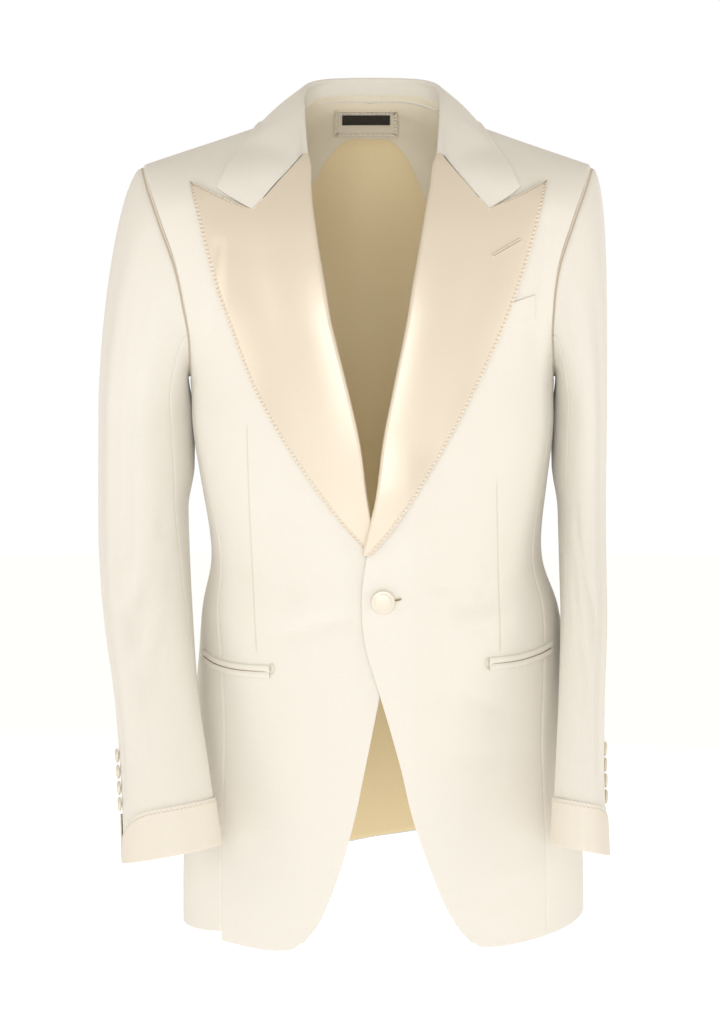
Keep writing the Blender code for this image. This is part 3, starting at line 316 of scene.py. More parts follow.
LINING_TOP, LINING_LOW = 0.020, 0.996  # from and to, as shares of the way down the back
LINING_SIDE_TOP = 0.12
LINING_DEPTH = 0.0058  # its visible face, inside the outer face of the back
LINING_REACH = 0.97  # how far it goes towards the side seams
LINING_NECK = (0.16, 0.32)  # shares of the way to the side over which its top drops
LINING_ROWS_RUN = 1.6  # its rows lie closer together at the neck
PLEAT_REACH = 0.15
PLEAT_STARTS = (0.06, 0.14)  # shares of the way down over which the pleat opens
PLEAT_HALF = 0.012  # the pleat down the middle of the lining, to each side
PLEAT_HIGH = 0.0030
PATCH_WIDTH, PATCH_HEIGHT = 0.066, 0.025
PATCH_TOP, PATCH_DEPTH = 0.0140, 0.0104
LABEL_WIDTH, LABEL_HEIGHT = 0.050, 0.0095
LABEL_TOP, LABEL_DEPTH, LABEL_THICK = 0.0108, 0.0118, 0.0008

NECK_EDGE_Z = 0.0030
UNDERARM_Z = -0.2365
CORNER_Z = -0.7765  # where a front's closing edge becomes its hem
ARMHOLE_SHARE = 0.28  # share of a front's or a back's rows that lie beside the armhole
ROLL_SET_BACK, NECK_SET_BACK = 0.0040, 0.0065  # how far a front's edge lies back from the roll
NECK_REACH = (-0.060, -0.040)  # heights between which the edge goes from the one to the other
ROLL_ENDS = (-0.380, -0.450)  # heights over which the roll runs out into the closing edge
INNER_SEAM_TURNS, OUTER_SEAM_TURNS = (0.2, 1.0), (0.25, 1.0)  # where a sleeve's seams turn
CUFF_LIFT, WELT_LIFT = 0.0022, 0.0016  # their outer faces over the cloth below

# The smaller creases of the fronts, in the same way as their folds.
CREASES = (
    Fold(LEFT, 0.0575, -0.4431, 0.1000, -0.4440, 0.0040, -0.0011),
    Fold(LEFT, 0.098, -0.4514, 0.119, -0.4265, 0.0040, -0.0013),
    Fold(LEFT, 0.1229, -0.4496, 0.1551, -0.4367, 0.0035, 0.0014),
    Fold(LEFT, 0.0916, -0.4616, 0.1146, -0.4616, 0.0040, -0.001),
    Fold(LEFT, 0.0843, -0.4829, 0.1046, -0.4829, 0.0045, -0.0008),
    Fold(LEFT, 0.0909, -0.5440, 0.1103, -0.5552, 0.0050, -0.0011),
    Fold(LEFT, 0.0855, -0.6017, 0.1594, -0.6017, 0.0090, -0.001),
    Fold(RIGHT, -0.020, -0.4700, -0.075, -0.4860, 0.0060, -0.001),
    Fold(RIGHT, -0.150, -0.4000, -0.120, -0.4300, 0.0070, -0.0016),
    Fold(RIGHT, -0.140, -0.1300, -0.150, -0.2100, 0.0080, -0.0016),
    Fold(LEFT, 0.160, -0.1100, 0.1500, -0.2300, 0.0080, -0.0016),
)

FOLD_REACH = 3  # half widths beyond which a fold is flat

# The soft folds down a sleeve: where they run round it, between which heights, how wide in degrees.
SleeveFold = namedtuple("SleeveFold", "side turn1 z1 turn2 z2 half height")
SLEEVE_FOLDS = (
    SleeveFold(RIGHT, 180, -0.220, 180, -0.335, 40.0, 0.0064),
    SleeveFold(LEFT, 180, -0.235, 180, -0.335, 40.0, 0.0052),
    SleeveFold(RIGHT, -52, -0.190, -46, -0.560, 8.0, 0.0026),
    SleeveFold(RIGHT, -30, -0.150, -26, -0.600, 7.0, -0.0022),
    SleeveFold(RIGHT, -78, -0.300, -70, -0.600, 7.0, -0.0019),
    SleeveFold(RIGHT, -122, -0.400, -70, -0.470, 13.0, -0.0042),
    SleeveFold(RIGHT, -130, -0.450, -85, -0.520, 13.0, -0.0032),
    SleeveFold(RIGHT, 60, -0.220, 48, -0.560, 10.0, -0.0026),
    SleeveFold(LEFT, -58, -0.160, -50, -0.600, 6.0, -0.0021),
    SleeveFold(LEFT, -40, -0.170, -36, -0.600, 6.0, 0.0022),
    SleeveFold(LEFT, -76, -0.260, -70, -0.600, 5.0, 0.0019),
    SleeveFold(LEFT, -118, -0.400, -80, -0.470, 9.0, -0.0035),
    SleeveFold(LEFT, -126, -0.460, -90, -0.530, 9.0, -0.0029),
    SleeveFold(LEFT, 60, -0.220, 48, -0.560, 10.0, -0.0026),
)
FOLD_END = 0.045  # distance over which such a fold fades at its ends
# How far a sleeve's head goes in under the panels, by what share of the way to the shoulder seam
# it narrows there, and over what share of the sleeve's rows.
TUCK, TUCK_IN, TUCK_SHARE = 0.0055, 0.06, 0.012

# The front darts, by height.
Dart = namedtuple("Dart", "z right left")
DART = (
    Dart(-0.2876, -0.1160, 0.1150),
    Dart(-0.3600, -0.1145, 0.1153),
    Dart(-0.4081, -0.1127, 0.1166),
    Dart(-0.5110, -0.1078, 0.1194),
)
DART_TOP = {RIGHT: -0.2876, LEFT: -0.340}
DART_STRENGTH, LINE_FADE = 0.009, 0.5  # how strongly a dart shows, in its groove and its painted shade, and how fast a seam line fades
ARMHOLE_LINE = 0.75  # shrinks the distance from an armhole's seam, so its line of painted shade is wider than a dart's
HEAD_LINE_DOWN = 0.006  # that line's way down a sleeve, from under the panels

JET_BASE, JET_TOP = 0.0007, 0.0024  # a jet's height over the front, at its edges and its middle
PATCH_ACROSS = -0.006  # the neck patch and its label sit a little to the right

# The facing round the inside of the neck: its rows go from a top to a low line, as shares of the
# way down the back. The low line drops from the middle to the sides.
# its lighter, warmer cream is partly the facing's own colour and partly painted light on the top of the
# inside
NECK_FACING_TOP, NECK_FACING_LOW, NECK_FACING_SIDE = 0.004, 0.036, 0.125
NECK_FACING_CURVE = (0.08, 0.62)  # shares of the way to the side over which it drops
NECK_FACING_REACH = 0.46  # how far it goes towards the side seams
NECK_FACING_LIFT = 0.0016  # its face over the lining's
FACING_TURN_UP = 0.12  # share of its rows that turn up to the collar's stand
FACING_TURN_ENDS = (0.061, 0.075)  # distances to the side over which that stops
FACING_OVERLAP_Y, FACING_OVERLAP_Z = 0.0012, 0.0040  # how far it goes up inside the stand

# The flat size each piece was cut to, and the share of that rectangle that it fills.
Cut = namedtuple("Cut", "width length share")
SCENE_ONLY = ("neck_facing",)  # it has no piece of the frame to replace

# ---- shapes ----

def curve(start, end, leave, arrive, t):
    """A smooth way from start (t 0) to end (t 1), by its tangents there."""
    return (
        start * (1 + 2 * t) * (1 - t) ** 2
        + end * t * t * (3 - 2 * t)
        + leave * t * (1 - t) ** 2
        - arrive * t * t * (1 - t)
    )


def slope(table, column, i):
    """The tangent of a table's smooth curve at row i."""
    low, high = max(i - 1, 0), min(i + 1, len(table) - 1)
    rise = getattr(table[high], column) - getattr(table[low], column)
    return rise / (table[high][0] - table[low][0])


def read(table, column, at):
    """A column's value on the smooth curve through the rows. The first column is the way along."""
    last = len(table) - 1
    if (at - table[0][0]) * (table[last][0] - table[0][0]) <= 0:
        return getattr(table[0], column)
    if (at - table[last][0]) * (table[last][0] - table[0][0]) >= 0:
        return getattr(table[last], column)
    i = next(k for k in range(last) if (at - table[k][0]) * (at - table[k + 1][0]) <= 0)
    span = table[i + 1][0] - table[i][0]
    t = (at - table[i][0]) / span
    start, end = getattr(table[i], column), getattr(table[i + 1], column)
    return curve(start, end, slope(table, column, i) * span, slope(table, column, i + 1) * span, t)


def mix(a, b, share):
    """The value that lies this share of the way from a to b."""
    return a + (b - a) * share


def ease(at, start, end):
    """0 at start, 1 at end, smooth between them."""
    t = min(max((at - start) / (end - start), 0.0), 1.0)
    return t * t * (3 - 2 * t)


def power(value, exponent):
    """A power that keeps the value's sign."""
    return math.copysign(abs(value) ** exponent, value)


def ridge(reach):
    """Height of the shoulder line at a distance from the centre line. It rises inside the neck."""
    if abs(reach) < NECK_HALF:
        return NECK_RISE * (1 - abs(reach / NECK_HALF) ** NECK_ROUND)
    return -SHOULDER_SLOPE * (abs(reach) - NECK_HALF)


def reach_of(angle):
    """How far from the centre line the shoulder line is at an angle round the body."""
    z = 0.0
    for _ in range(RIDGE_ROUNDS):
        sine = math.sin(math.radians(angle))
        reach = power(sine, 2 / read(BODY, "square", z)) * read(BODY, "half_width", z)
        z = ridge(reach)
    return reach


def body(side, angle, z):
    """A point of the cloth's outer face, by the angle round the body from the middle of the front."""
    turn = math.radians(angle)
    exponent = 2 / read(BODY, "square", z)
    reach = power(math.sin(turn), exponent) * read(BODY, "half_width", z)
    cosine = math.cos(turn)
    widest = read(BODY, "side_y", z)
    depth = read(BODY, "front", z) + widest if cosine > 0 else read(BODY, "back", z) - widest
    y = widest - power(cosine, exponent) * depth
    drop = (ridge(abs(reach)) - z) / SHOULDER_ROUND
    if drop < 1:
        y = mix(SHOULDER_SEAM_Y, y, math.sqrt(max(0.0, 1 - (1 - max(drop, 0)) ** 2)))
    return Vector((read(BODY, "centre", z) + side * reach, y, z))


def angle_at(side, x, z):
    """The angle round the body at which its front has this X."""
    share = side * (x - read(BODY, "centre", z)) / read(BODY, "half_width", z)
    sine = power(min(max(share, -1), 1), read(BODY, "square", z) / 2)
    return math.degrees(math.asin(sine))


def overlap(side, x, z):
    """How far a front stands out because it lies over the other one."""
    if side == RIGHT:
        return 0.0
    across = 1 - ease(x, OVERLAP_NEAR, OVERLAP_FAR)
    down = ease(z, OVERLAP_START, OVERLAP_FULL) * (1 - ease(z, OVERLAP_LEAVE, OVERLAP_END))
    return OVERLAP_LIFT * across * down


def front(side, angle, z):
    """The outer face of a front. The wearer's left one lies over the right one."""
    point = body(side, angle, z)
    point.y -= overlap(side, point.x, z) + folded(side, point.x, z)
    return point


def folded(side, x, z):
    """How far the folds of a front stand out at a place on it."""
    total = 0.0
    for fold in FOLDS + CREASES:
        if fold.side != side:
            continue
        long_x, long_z = fold.x2 - fold.x1, fold.z2 - fold.z1
        t = ((x - fold.x1) * long_x + (z - fold.z1) * long_z) / (long_x**2 + long_z**2)
        t = min(max(t, 0.0), 1.0)
        off = math.hypot(x - fold.x1 - long_x * t, z - fold.z1 - long_z * t)
        if off < FOLD_REACH * fold.half:
            total += fold.height * math.exp(-((off / fold.half) ** 2))
    return total * bpy.context.scene.jacket.crease_depth


def facing(face, u, v):
    """The direction that a face looks in, as the cross product of its two ways."""
    step = TURN_STEP
    along = face(u + step, v) - face(u - step, v)
    down = face(u, v + step) - face(u, v - step)
    return along.cross(down).normalized()


def lifted(side, x, z, height):
    """A point over a front, at a place given from the front."""
    def face(u, v):
        return front(side, angle_at(side, x, z) + PROBE_TURN * u, z - PROBE_DROP * v)

    return face(0, 0) - facing(face, 0, 0) * side * height


def front_edge(side, z):
    """X of a front's cut edge. Above the button it lies back from the roll by the roll's radius."""
    back = mix(ROLL_SET_BACK, NECK_SET_BACK, ease(z, *NECK_REACH)) * (1 - ease(z, *ROLL_ENDS))
    return read(FRONT_EDGE, SIDE_NAME[side], z) + side * back


def hem(side, angle):
    """The hem's height at an angle round the body."""
    return read(HEM, SIDE_NAME[side], angle)


def front_panel(side):
    """The face of a front: u from the closing edge to the side seam, v from the shoulder to the hem."""
    def edge_angle(z):
        return angle_at(side, front_edge(side, z), z)

    def face(u, v):
        share = v / ARMHOLE_SHARE
        down = max((v - ARMHOLE_SHARE) / (1 - ARMHOLE_SHARE), 0)
        if share < 1:
            inner_z = mix(NECK_EDGE_Z, UNDERARM_Z, share)
            outer_z = read(ARMHOLE, "z", SIDE_PANEL_TURN * share)
            outer = read(ARMHOLE, "front_angle", SIDE_PANEL_TURN * share)
        else:
            inner_z = mix(UNDERARM_Z, CORNER_Z, down)
            outer_z = mix(UNDERARM_Z, hem(side, SEAMS[-1].front_angle), down)
            outer = read(SEAMS, "front_angle", outer_z)
        angle = mix(edge_angle(inner_z), outer, u)
        z = mix(inner_z, outer_z, u)
        if share < 1:
            z += (ridge(reach_of(angle)) - mix(NECK_EDGE_Z, SHOULDER_TIP_Z, u)) * (1 - share)
        else:
            level = mix(CORNER_Z, hem(side, SEAMS[-1].front_angle), u)
            z += (hem(side, angle) - level) * down**FRONT_HEM_RUN * ease(u, 0, CORNER_SHARE)
        point = front(side, angle, z)
        point.y = min(point.y, SHOULDER_SEAM_Y - SEAM_GAP / 2)
        return point

    return face


def side_panel(side):
    """The face of a side panel: u from its front seam to its back seam, v from the armhole down."""
    def face(u, v):
        turn = mix(SIDE_PANEL_TURN, 360 - SIDE_PANEL_TURN, u)
        column = "front_angle" if turn < 180 else "back_angle"
        deep = min(turn, 360 - turn)
        top_angle, top = read(ARMHOLE, column, deep), read(ARMHOLE, "z", deep)
        low_angle = mix(SEAMS[-1].front_angle, SEAMS[-1].back_angle, u)
        rise = SIDE_HEM_RISE[side] * (1 - u) ** SIDE_HEM_FADE * v**SIDE_HEM_RUN
        z = mix(top - SEAM_GAP, hem(side, low_angle), v) + rise
        start, end = read(SEAMS, "front_angle", z), read(SEAMS, "back_angle", z)
        at_top = (1 - v) ** UNDERARM_RUN * 4 * u * (1 - u)
        angle = mix(mix(start, end, u), top_angle, at_top)
        return body(side, angle, z)

    return face


def back_panel(side):
    """The face of half the back: u from the middle seam to the side seam, v from the neck down."""
    def face(u, v):
        share = v / ARMHOLE_SHARE
        down = max((v - ARMHOLE_SHARE) / (1 - ARMHOLE_SHARE), 0)
        if share < 1:
            outer_z = read(ARMHOLE, "z", SIDE_PANEL_TURN * share)
            outer = read(ARMHOLE, "back_angle", SIDE_PANEL_TURN * share)
        else:
            outer_z = mix(UNDERARM_Z, hem(side, SEAMS[-1].back_angle), down)
            outer = read(SEAMS, "back_angle", outer_z)
        angle = mix(180, outer, u)
        top = neckline(side, angle)
        if share < 1:
            middle = mix(NECK_BACK_Z, UNDERARM_Z, share)
            line = mix(NECK_BACK_Z, SHOULDER_TIP_Z, u)
            z = mix(middle, outer_z, u) + (top - line) * (1 - share)
        else:
            middle = mix(UNDERARM_Z, hem(side, 180), down)
            level = mix(hem(side, 180), hem(side, SEAMS[-1].back_angle), u)
            z = mix(middle, outer_z, u) + (hem(side, angle) - level) * down**BACK_HEM_RUN
        point = body(side, angle, z)
        point.y = max(point.y, SHOULDER_SEAM_Y + SEAM_GAP / 2)
        return point

    return face


def neckline(side, angle):
    """Height of the back's top edge: the back of the neck, then the shoulder seam."""
    reach = reach_of(angle)
    if reach >= NECK_HALF:
        return ridge(reach)
    round_part = math.sqrt(max(0.0, 1 - (reach / NECK_HALF) ** 2))
    depth = BODY[1].back - SHOULDER_SEAM_Y
    out = (NECK_BACK_Y - SHOULDER_SEAM_Y) * round_part / depth
    return ridge(reach) - SHOULDER_ROUND * (1 - math.sqrt(1 - out * out))


def lapel_place(side):
    """X, Z and the distance from the roll, by the way across the lapel and the way down it."""
    name = SIDE_NAME[side]

    def place(way, v):
        row = v * (len(LAPEL) - 1)
        roll_z = by_row(LAPEL, "roll_z", row)
        edge_x, edge_z = by_row(LAPEL, name + "_x", row), by_row(LAPEL, name + "_z", row)
        if way < NOTCH_COLUMN:
            across = NOTCH_SHARE * way / NOTCH_COLUMN
            dip = way / NOTCH_COLUMN
        else:
            across = mix(NOTCH_SHARE, 1, (way - NOTCH_COLUMN) / (1 - NOTCH_COLUMN))
            dip = (1 - way) / (1 - NOTCH_COLUMN)
        z = mix(roll_z, edge_z, across) - NOTCH_DIP * dip * math.exp(-v / NOTCH_FADE)
        gap = LAPEL_GAP * (1 + LAPEL_GAP_TOP * ease(z, *GORGE_REACH) + ease(z, *BREAK_REACH))
        start = front_edge(side, roll_z) - side * gap
        return mix(start, edge_x, across), z, abs(edge_x - start) * across

    return place


def lapel_height(side, z, distance):
    """Height of a lapel's visible face over the front, at a distance from the roll."""
    low = ease(z, *LOW_LAPEL)
    lie = mix(LAPEL_LIE[side], LAPEL_LIE_LOW[side], low)
    rolled = 2 * read(LAPEL_ROLL, SIDE_NAME[side], z) - CLOTH
    return mix(rolled, lie, ease(distance, 0, LAPEL_SETTLE))


def lapel_face(side):
    """The visible face of a lapel: u from the roll to the outer edge, v from the gorge to the button."""
    place = lapel_place(side)

    def face(u, v):
        way = max(u - ROLL_SHARE, 0) / (1 - ROLL_SHARE)
        x, z, distance = place(way, v)
        height = lapel_height(side, z, distance)
        if u < ROLL_SHARE:
            radius = read(LAPEL_ROLL, SIDE_NAME[side], z)
            turn = math.pi * u / ROLL_SHARE
            x -= side * radius * math.sin(turn)
            height = -CLOTH + radius * (1 - math.cos(turn))
        return lifted(side, x, z, height)

    return face


def by_row(table, column, row):
    """A column's value part way between rows, by the row's number."""
    low = min(max(int(math.floor(row)), 0), len(table) - 2)
    t = row - low
    values = [getattr(table[min(max(low + k, 0), len(table) - 1)], column) for k in (-1, 0, 1, 2)]
    leave, arrive = (values[2] - values[0]) / 2, (values[3] - values[1]) / 2
    return curve(values[1], values[2], leave, arrive, t)


def clear_of_body(point, lift):
    """Moves a point out until it lies this far over the body's face."""
    z = point.z
    reach = abs(point.x - read(BODY, "centre", z))
    share = min(reach / read(BODY, "half_width", z), NEARLY_SIDE)
    exponent = read(BODY, "square", z)
    flat = (1 - share**exponent) ** (1 / exponent)
    ahead = point.y < SHOULDER_SEAM_Y
    depth = read(BODY, "front" if ahead else "back", z) * flat
    depth += SHOULDER_SEAM_Y * (1 if ahead else -1)
    out = abs(point.y - SHOULDER_SEAM_Y) / depth
    up = max(0.0, 1 - (ridge(reach) - z) / SHOULDER_ROUND)
    least = 1 + lift / mix(depth, SHOULDER_ROUND, ease(up, 0, 1))
    size = math.hypot(out, up)
    if size >= least or size < DEEP_INSIDE:
        return point
    grow = least / size
    moved = Vector(point)
    moved.y = SHOULDER_SEAM_Y + (point.y - SHOULDER_SEAM_Y) * grow
    if up > 0:
        moved.z = point.z + up * (grow - 1) * SHOULDER_ROUND
    return moved


def collar_points(way):
    """The roll, the outer edge and the neck seam of the collar at a place along it (-1 to 1)."""
    side = -1 if way < 0 else 1
    at = abs(way)

    def spot(name):
        x = side * read(COLLAR, name + "_x", at) + (COLLAR_EDGE_SHIFT * at if name == "edge" else 0)
        return Vector((x, read(COLLAR, name + "_y", at), read(COLLAR, name + "_z", at)))

    return spot("roll"), spot("edge"), spot("seam"), read(COLLAR, "full", at)


def collar_face(u, v):
    """The visible face of the collar: u from its right end to its left, v from the stand to the edge."""
    way = min(max(2 * u - 1, -1), 1)
    side = -1 if way < 0 else 1
    roll, edge, seam, full = collar_points(way)
    ahead = collar_points(min(way + COLLAR_STEP, 1))[0]
    behind = collar_points(max(way - COLLAR_STEP, -1))[0]
    along = (ahead - behind).normalized()
    fall = edge - roll
    length = fall.length
    fall = (fall - along * fall.dot(along)).normalized()
    out = along.cross(fall).normalized()
    radius = COLLAR_ROLL_RADIUS
    middle = roll + fall * radius
    if v < COLLAR_STAND_SHARE:
        return seam.lerp(middle - out * radius, v / COLLAR_STAND_SHARE)
    turn_end = COLLAR_STAND_SHARE + COLLAR_ROLL_SHARE
    if v < turn_end:
        turn = math.pi * (v - COLLAR_STAND_SHARE) / COLLAR_ROLL_SHARE
        return middle - out * radius * math.cos(turn) - fall * radius * math.sin(turn)
    t = (v - turn_end) / (1 - turn_end)
    start = middle + out * radius
    bend = start + out * full + fall * length * COLLAR_BEND
    point = start * (1 - t) ** 2 + bend * 2 * t * (1 - t) + edge * t * t
    end_pull = ease(abs(way), COLLAR_END_START, 1.0)
    if end_pull:
        point = point.lerp(collar_end(side, edge, t), end_pull)
    return clear_of_body(point, COLLAR_LIE + COLLAR_FULLNESS * (1 - t) ** 2)


def collar_end(side, edge, t):
    """A point of the collar's front end: the gorge to the notch, then the end's free edge."""
    along = min(t / COLLAR_NOTCH_SHARE, 1)
    x, z, distance = lapel_place(side)(NOTCH_COLUMN * along, 0)
    point = lifted(side, x, z + GORGE_GAP * (2 - along), lapel_height(side, z, distance))
    if t < COLLAR_NOTCH_SHARE:
        return point
    return point.lerp(edge, (t - COLLAR_NOTCH_SHARE) / (1 - COLLAR_NOTCH_SHARE))


def sleeve_ring(side, turn, z):
    """A point of the sleeve's outer face below the underarm: turn 0 looks away from the body."""
    table = SLEEVE[side]
    out_by = sleeve_folded(side, turn, z)
    at = math.radians(turn)
    out = side * (read(table, "half_width", z) + out_by) * math.cos(at)
    back = (read(table, "half_depth", z) + out_by) * math.sin(at)
    tilt = ease(z, table[0].z, table[-1].z)
    rise = tilt * (SLEEVE_HEM_TILT_X[side] * out + SLEEVE_HEM_TILT_Y[side] * back)
    beyond = min(z - table[-1].z, 0)
    level = max(z, table[-1].z) + rise + beyond
    return Vector((read(table, "x", z) + out, read(table, "y", z) + back, level))


def sleeve_folded(side, turn, z):
    """How far the folds of a sleeve stand out at a place round it and down it."""
    total = 0.0
    for fold in SLEEVE_FOLDS:
        if fold.side != side or not fold.z2 - FOLD_END < z < fold.z1 + FOLD_END:
            continue
        t = min(max((z - fold.z1) / (fold.z2 - fold.z1), 0.0), 1.0)
        off = (turn - mix(fold.turn1, fold.turn2, t) + 180) % 360 - 180
        ends = ease(z, fold.z2 - FOLD_END, fold.z2) * (1 - ease(z, fold.z1, fold.z1 + FOLD_END))
        total += fold.height * ends * math.exp(-((off / fold.half) ** 2))
    return total * bpy.context.scene.jacket.crease_depth


def armhole_point(side, turn):
    """A point of the armhole: turn 0 is the shoulder point, 90 the back, 180 the underarm."""
    turn %= 360
    column = "back_angle" if turn <= 180 else "front_angle"
    deep = min(turn, 360 - turn)
    point = body(side, read(ARMHOLE, column, deep), read(ARMHOLE, "z", deep))
    point.x += side * ARMHOLE_GAP
    return point


def tuck(point, side):
    """How far the seam allowance of a sleeve head goes in under the panels."""
    return Vector((-side * TUCK, (SHOULDER_SEAM_Y - point.y) * TUCK_IN, 0))


def sleeve_face(side, turn, v):
    """The outer face of a sleeve: v 0 on the armhole, 1 at the hem."""
    table = SLEEVE[side]
    if v >= SLEEVE_HEAD_SHARE:
        down = (v - SLEEVE_HEAD_SHARE) / (1 - SLEEVE_HEAD_SHARE)
        return sleeve_ring(side, turn, mix(table[0].z, table[-1].z, down))
    start, end = armhole_point(side, turn), sleeve_ring(side, turn, table[0].z)
    start += tuck(start, side) * math.exp(-((v / TUCK_SHARE) ** 2))
    t = v / SLEEVE_HEAD_SHARE
    high = (1 + math.cos(math.radians(turn))) / 2
    push = mix(SLEEVE_UNDER_OUT, SLEEVE_HEAD_OUT[side], high)
    drop = start.z - end.z
    sway = SLEEVE_HEAD_BACK * math.sin(math.radians(turn)) * high
    leave = Vector((side * push, sway, -SLEEVE_HEAD_DROP * drop * high))
    return curve(start, end, leave, Vector((0, 0, -drop)), t)


def sleeve_seams(side, v):
    """Where the inner and the outer seam run, in degrees round the sleeve."""
    inner = mix(SLEEVE_FRONT_SEAM - 360, SLEEVE_FRONT_SEAM_HEM - 360, ease(v, *INNER_SEAM_TURNS))
    outer = mix(SLEEVE_BACK_SEAM, SLEEVE_BACK_SEAM_HEM[side], ease(v, *OUTER_SEAM_TURNS))
    return inner, outer


def sleeve_piece(side, under):
    """The face of a top sleeve or an under sleeve: u round it from seam to seam, v down it."""
    def face(u, v):
        inner, outer = sleeve_seams(side, v)
        turn = mix(outer, inner + 360, u) if under else mix(inner, outer, u)
        return sleeve_face(side, turn, v)

    return face


def over_sleeve(side, turn, z, height):
    """A point this far over a sleeve, and the direction out from the sleeve there."""
    def near(a, b):
        return sleeve_ring(side, turn + PROBE_TURN * a, z - PROBE_DROP * b)

    outward = facing(near, 0, 0) * -side
    return near(0, 0) + outward * height, outward


def cuff_face(side):
    """The visible face of a turned-back cuff, round from behind the buttons to in front of them."""
    hem_z = SLEEVE[side][-1].z
    slit = SLEEVE_BACK_SEAM_HEM[side]

    def face(u, v):
        turn = mix(slit + CUFF_OPEN, slit + 360 - CUFF_OPEN, u)
        from_end = (1 - u) * CUFF_LENGTH
        corner = max(0.0, 1 - from_end / CUFF_CORNER)
        height = CUFF_HEIGHT * mix(CUFF_END, 1, math.sqrt(max(0.0, 1 - corner**2)))
        return over_sleeve(side, turn, hem_z + height * (1 - v), CUFF_LIFT)[0]

    return face


def welt_face(u, v):
    """The visible face of the breast pocket's welt: u from its inner to its outer end, v down."""
    x = mix(WELT["inner_x"], WELT["outer_x"], u)
    z = mix(WELT["inner_z"], WELT["outer_z"], u) - WELT["height"] * v
    return lifted(LEFT, x, z, WELT_LIFT)


def inside_back(side, depth):
    """A face this far inside the back: u from the middle to the side seam, v down."""
    face = back_panel(side)

    def inside(u, v):
        return face(u, v) - facing(face, u, v) * side * depth

    return inside


def lining_face(u, v):
    """The visible face of the back lining, seen from inside: u from right to left, v from the neck."""
    way = 2 * u - 1
    side = -1 if way < 0 else 1
    top = mix(LINING_TOP, LINING_SIDE_TOP, ease(abs(way), *LINING_NECK))
    down = mix(top, LINING_LOW, max(v, 0) ** LINING_ROWS_RUN)
    pleat = PLEAT_HIGH * math.exp(-((abs(way) * PLEAT_REACH / PLEAT_HALF) ** 2))
    pleat *= ease(down, *PLEAT_STARTS)
    return inside_back(side, LINING_DEPTH + pleat)(abs(way) * LINING_REACH, down)


def patch_face(width, height, top, depth):
    """A face on the lining at the back of the neck: u across, v down."""
    def face(u, v):
        x = width * (u - 0.5) + PATCH_ACROSS
        z = top - height * v

        def near(a, b):
            low = z - PROBE_DROP * b
            return body(LEFT, 180 - angle_at(LEFT, x - PROBE_ACROSS * a, low), low)

        return near(0, 0) + facing(near, 0, 0) * depth

    return face


# ---- cloth ----

# How an edge is finished: how far the face rolls in at it, over what distance, and how much
# thicker the folded cloth is there.
Finish = namedtuple("Finish", "roll_in reach thicker")
FINISH = {
    "seam": Finish(0.0008, 0.0011, 0.0),
    "soft seam": Finish(0.0003, 0.0010, 0.0),
    "armhole": Finish(0.0034, 0.0018, 0.0),
    "hem": Finish(0.0, 0.0010, 0.0012),
    "cut": Finish(0.0, 0.0010, 0.0),
}
HEM_DEEP, HEM_STEP = 0.012, 0.8  # how far the folded edge reaches, and the share where it ends
ROUND_SHARE = 0.3  # of a cloth's thickness, rounded off its cut edges
EDGE_ANGLE = 50  # an edge sharper than this is rounded
FAR = 1.0  # a distance that is nowhere near a line
BUNCH, PANEL_BUNCH = 0.55, 0.3  # how much closer together a grid's lines lie near the edges
Grid = namedtuple("Grid", "us vs points across down")

# How each kind of piece is made: the columns and rows of its grid, its thickness, its look, how it
# is held, the finishes of its edges at u 0, u 1, v 0 and v 1, and how its grid bunches.
PLAIN = ("cut", "cut", "cut", "cut")
SLEEVE_EDGES = ("soft seam", "soft seam", "cut", "cut")
Make = namedtuple("Make", "columns rows thick kind held edges bunch", defaults=(PLAIN, BUNCH))
FRONT_MAKE = Make(96, 190, CLOTH, "wool crepe", "hung", ("hem", "side", "seam", "hem"), PANEL_BUNCH)
SIDE_MAKE = Make(36, 120, CLOTH, "wool crepe", "hung", ("seam", "seam", "armhole", "hem"))
BACK_MAKE = Make(84, 180, CLOTH, "wool crepe", "hung", ("seam", "side", "seam", "hem"), PANEL_BUNCH)
LAPEL_MAKE = Make(56, 150, SATIN, "lapel satin", "folded")
COLLAR_MAKE = Make(150, 44, CLOTH, "wool crepe", "folded")
TOP_SLEEVE_MAKE = Make(64, 150, CLOTH, "wool crepe", "hung", SLEEVE_EDGES)
UNDER_SLEEVE_MAKE = Make(50, 150, CLOTH, "wool crepe", "hung", SLEEVE_EDGES)
CUFF_MAKE = Make(120, 16, SATIN, "cuff satin", "folded")
POCKET_MAKE = Make(70, 16, SATIN, "wool crepe", "folded")
WELT_MAKE = Make(30, 14, SATIN, "wool crepe", "laid")
LINING_MAKE = Make(110, 120, LINING, "lining satin", "hung")
NECK_FACING_MAKE = Make(90, 30, LINING, "facing crepe with painted light", "laid")
PATCH_MAKE = Make(40, 16, LINING, "stitched crepe", "laid")
LABEL_MAKE = Make(30, 6, LABEL_THICK, "black label", "laid")


def spaced(count, bunch):
    """Shares from 0 to 1 that lie closer together at both ends."""
    turns = [math.pi * i / count for i in range(count + 1)]
    return [mix(i / count, 0.5 - 0.5 * math.cos(turn), bunch) for i, turn in enumerate(turns)]


def grid_of(face, columns, rows, bunch):
    """The points of a face, with the lengths along each row and down each column."""
    us, vs = spaced(columns, bunch), spaced(rows, bunch)
    points = [[face(u, v) for u in us] for v in vs]
    across = [[0.0] for _ in points]
    for row, line in zip(across, points):
        for a, b in zip(line, line[1:]):
            row.append(row[-1] + (b - a).length)
    down = [[0.0] * len(us)]
    for above, line in zip(points, points[1:]):
        down.append([so_far + (b - a).length for so_far, a, b in zip(down[-1], above, line)])
    return Grid(us, vs, points, across, down)


def edge_distances(grid, i, j):
    """Distances from a point of the grid to the edges at u 0, u 1, v 0 and v 1."""
    across, down = grid.across, grid.down
    return (across[j][i], across[j][-1] - across[j][i], down[j][i], down[-1][i] - down[j][i])


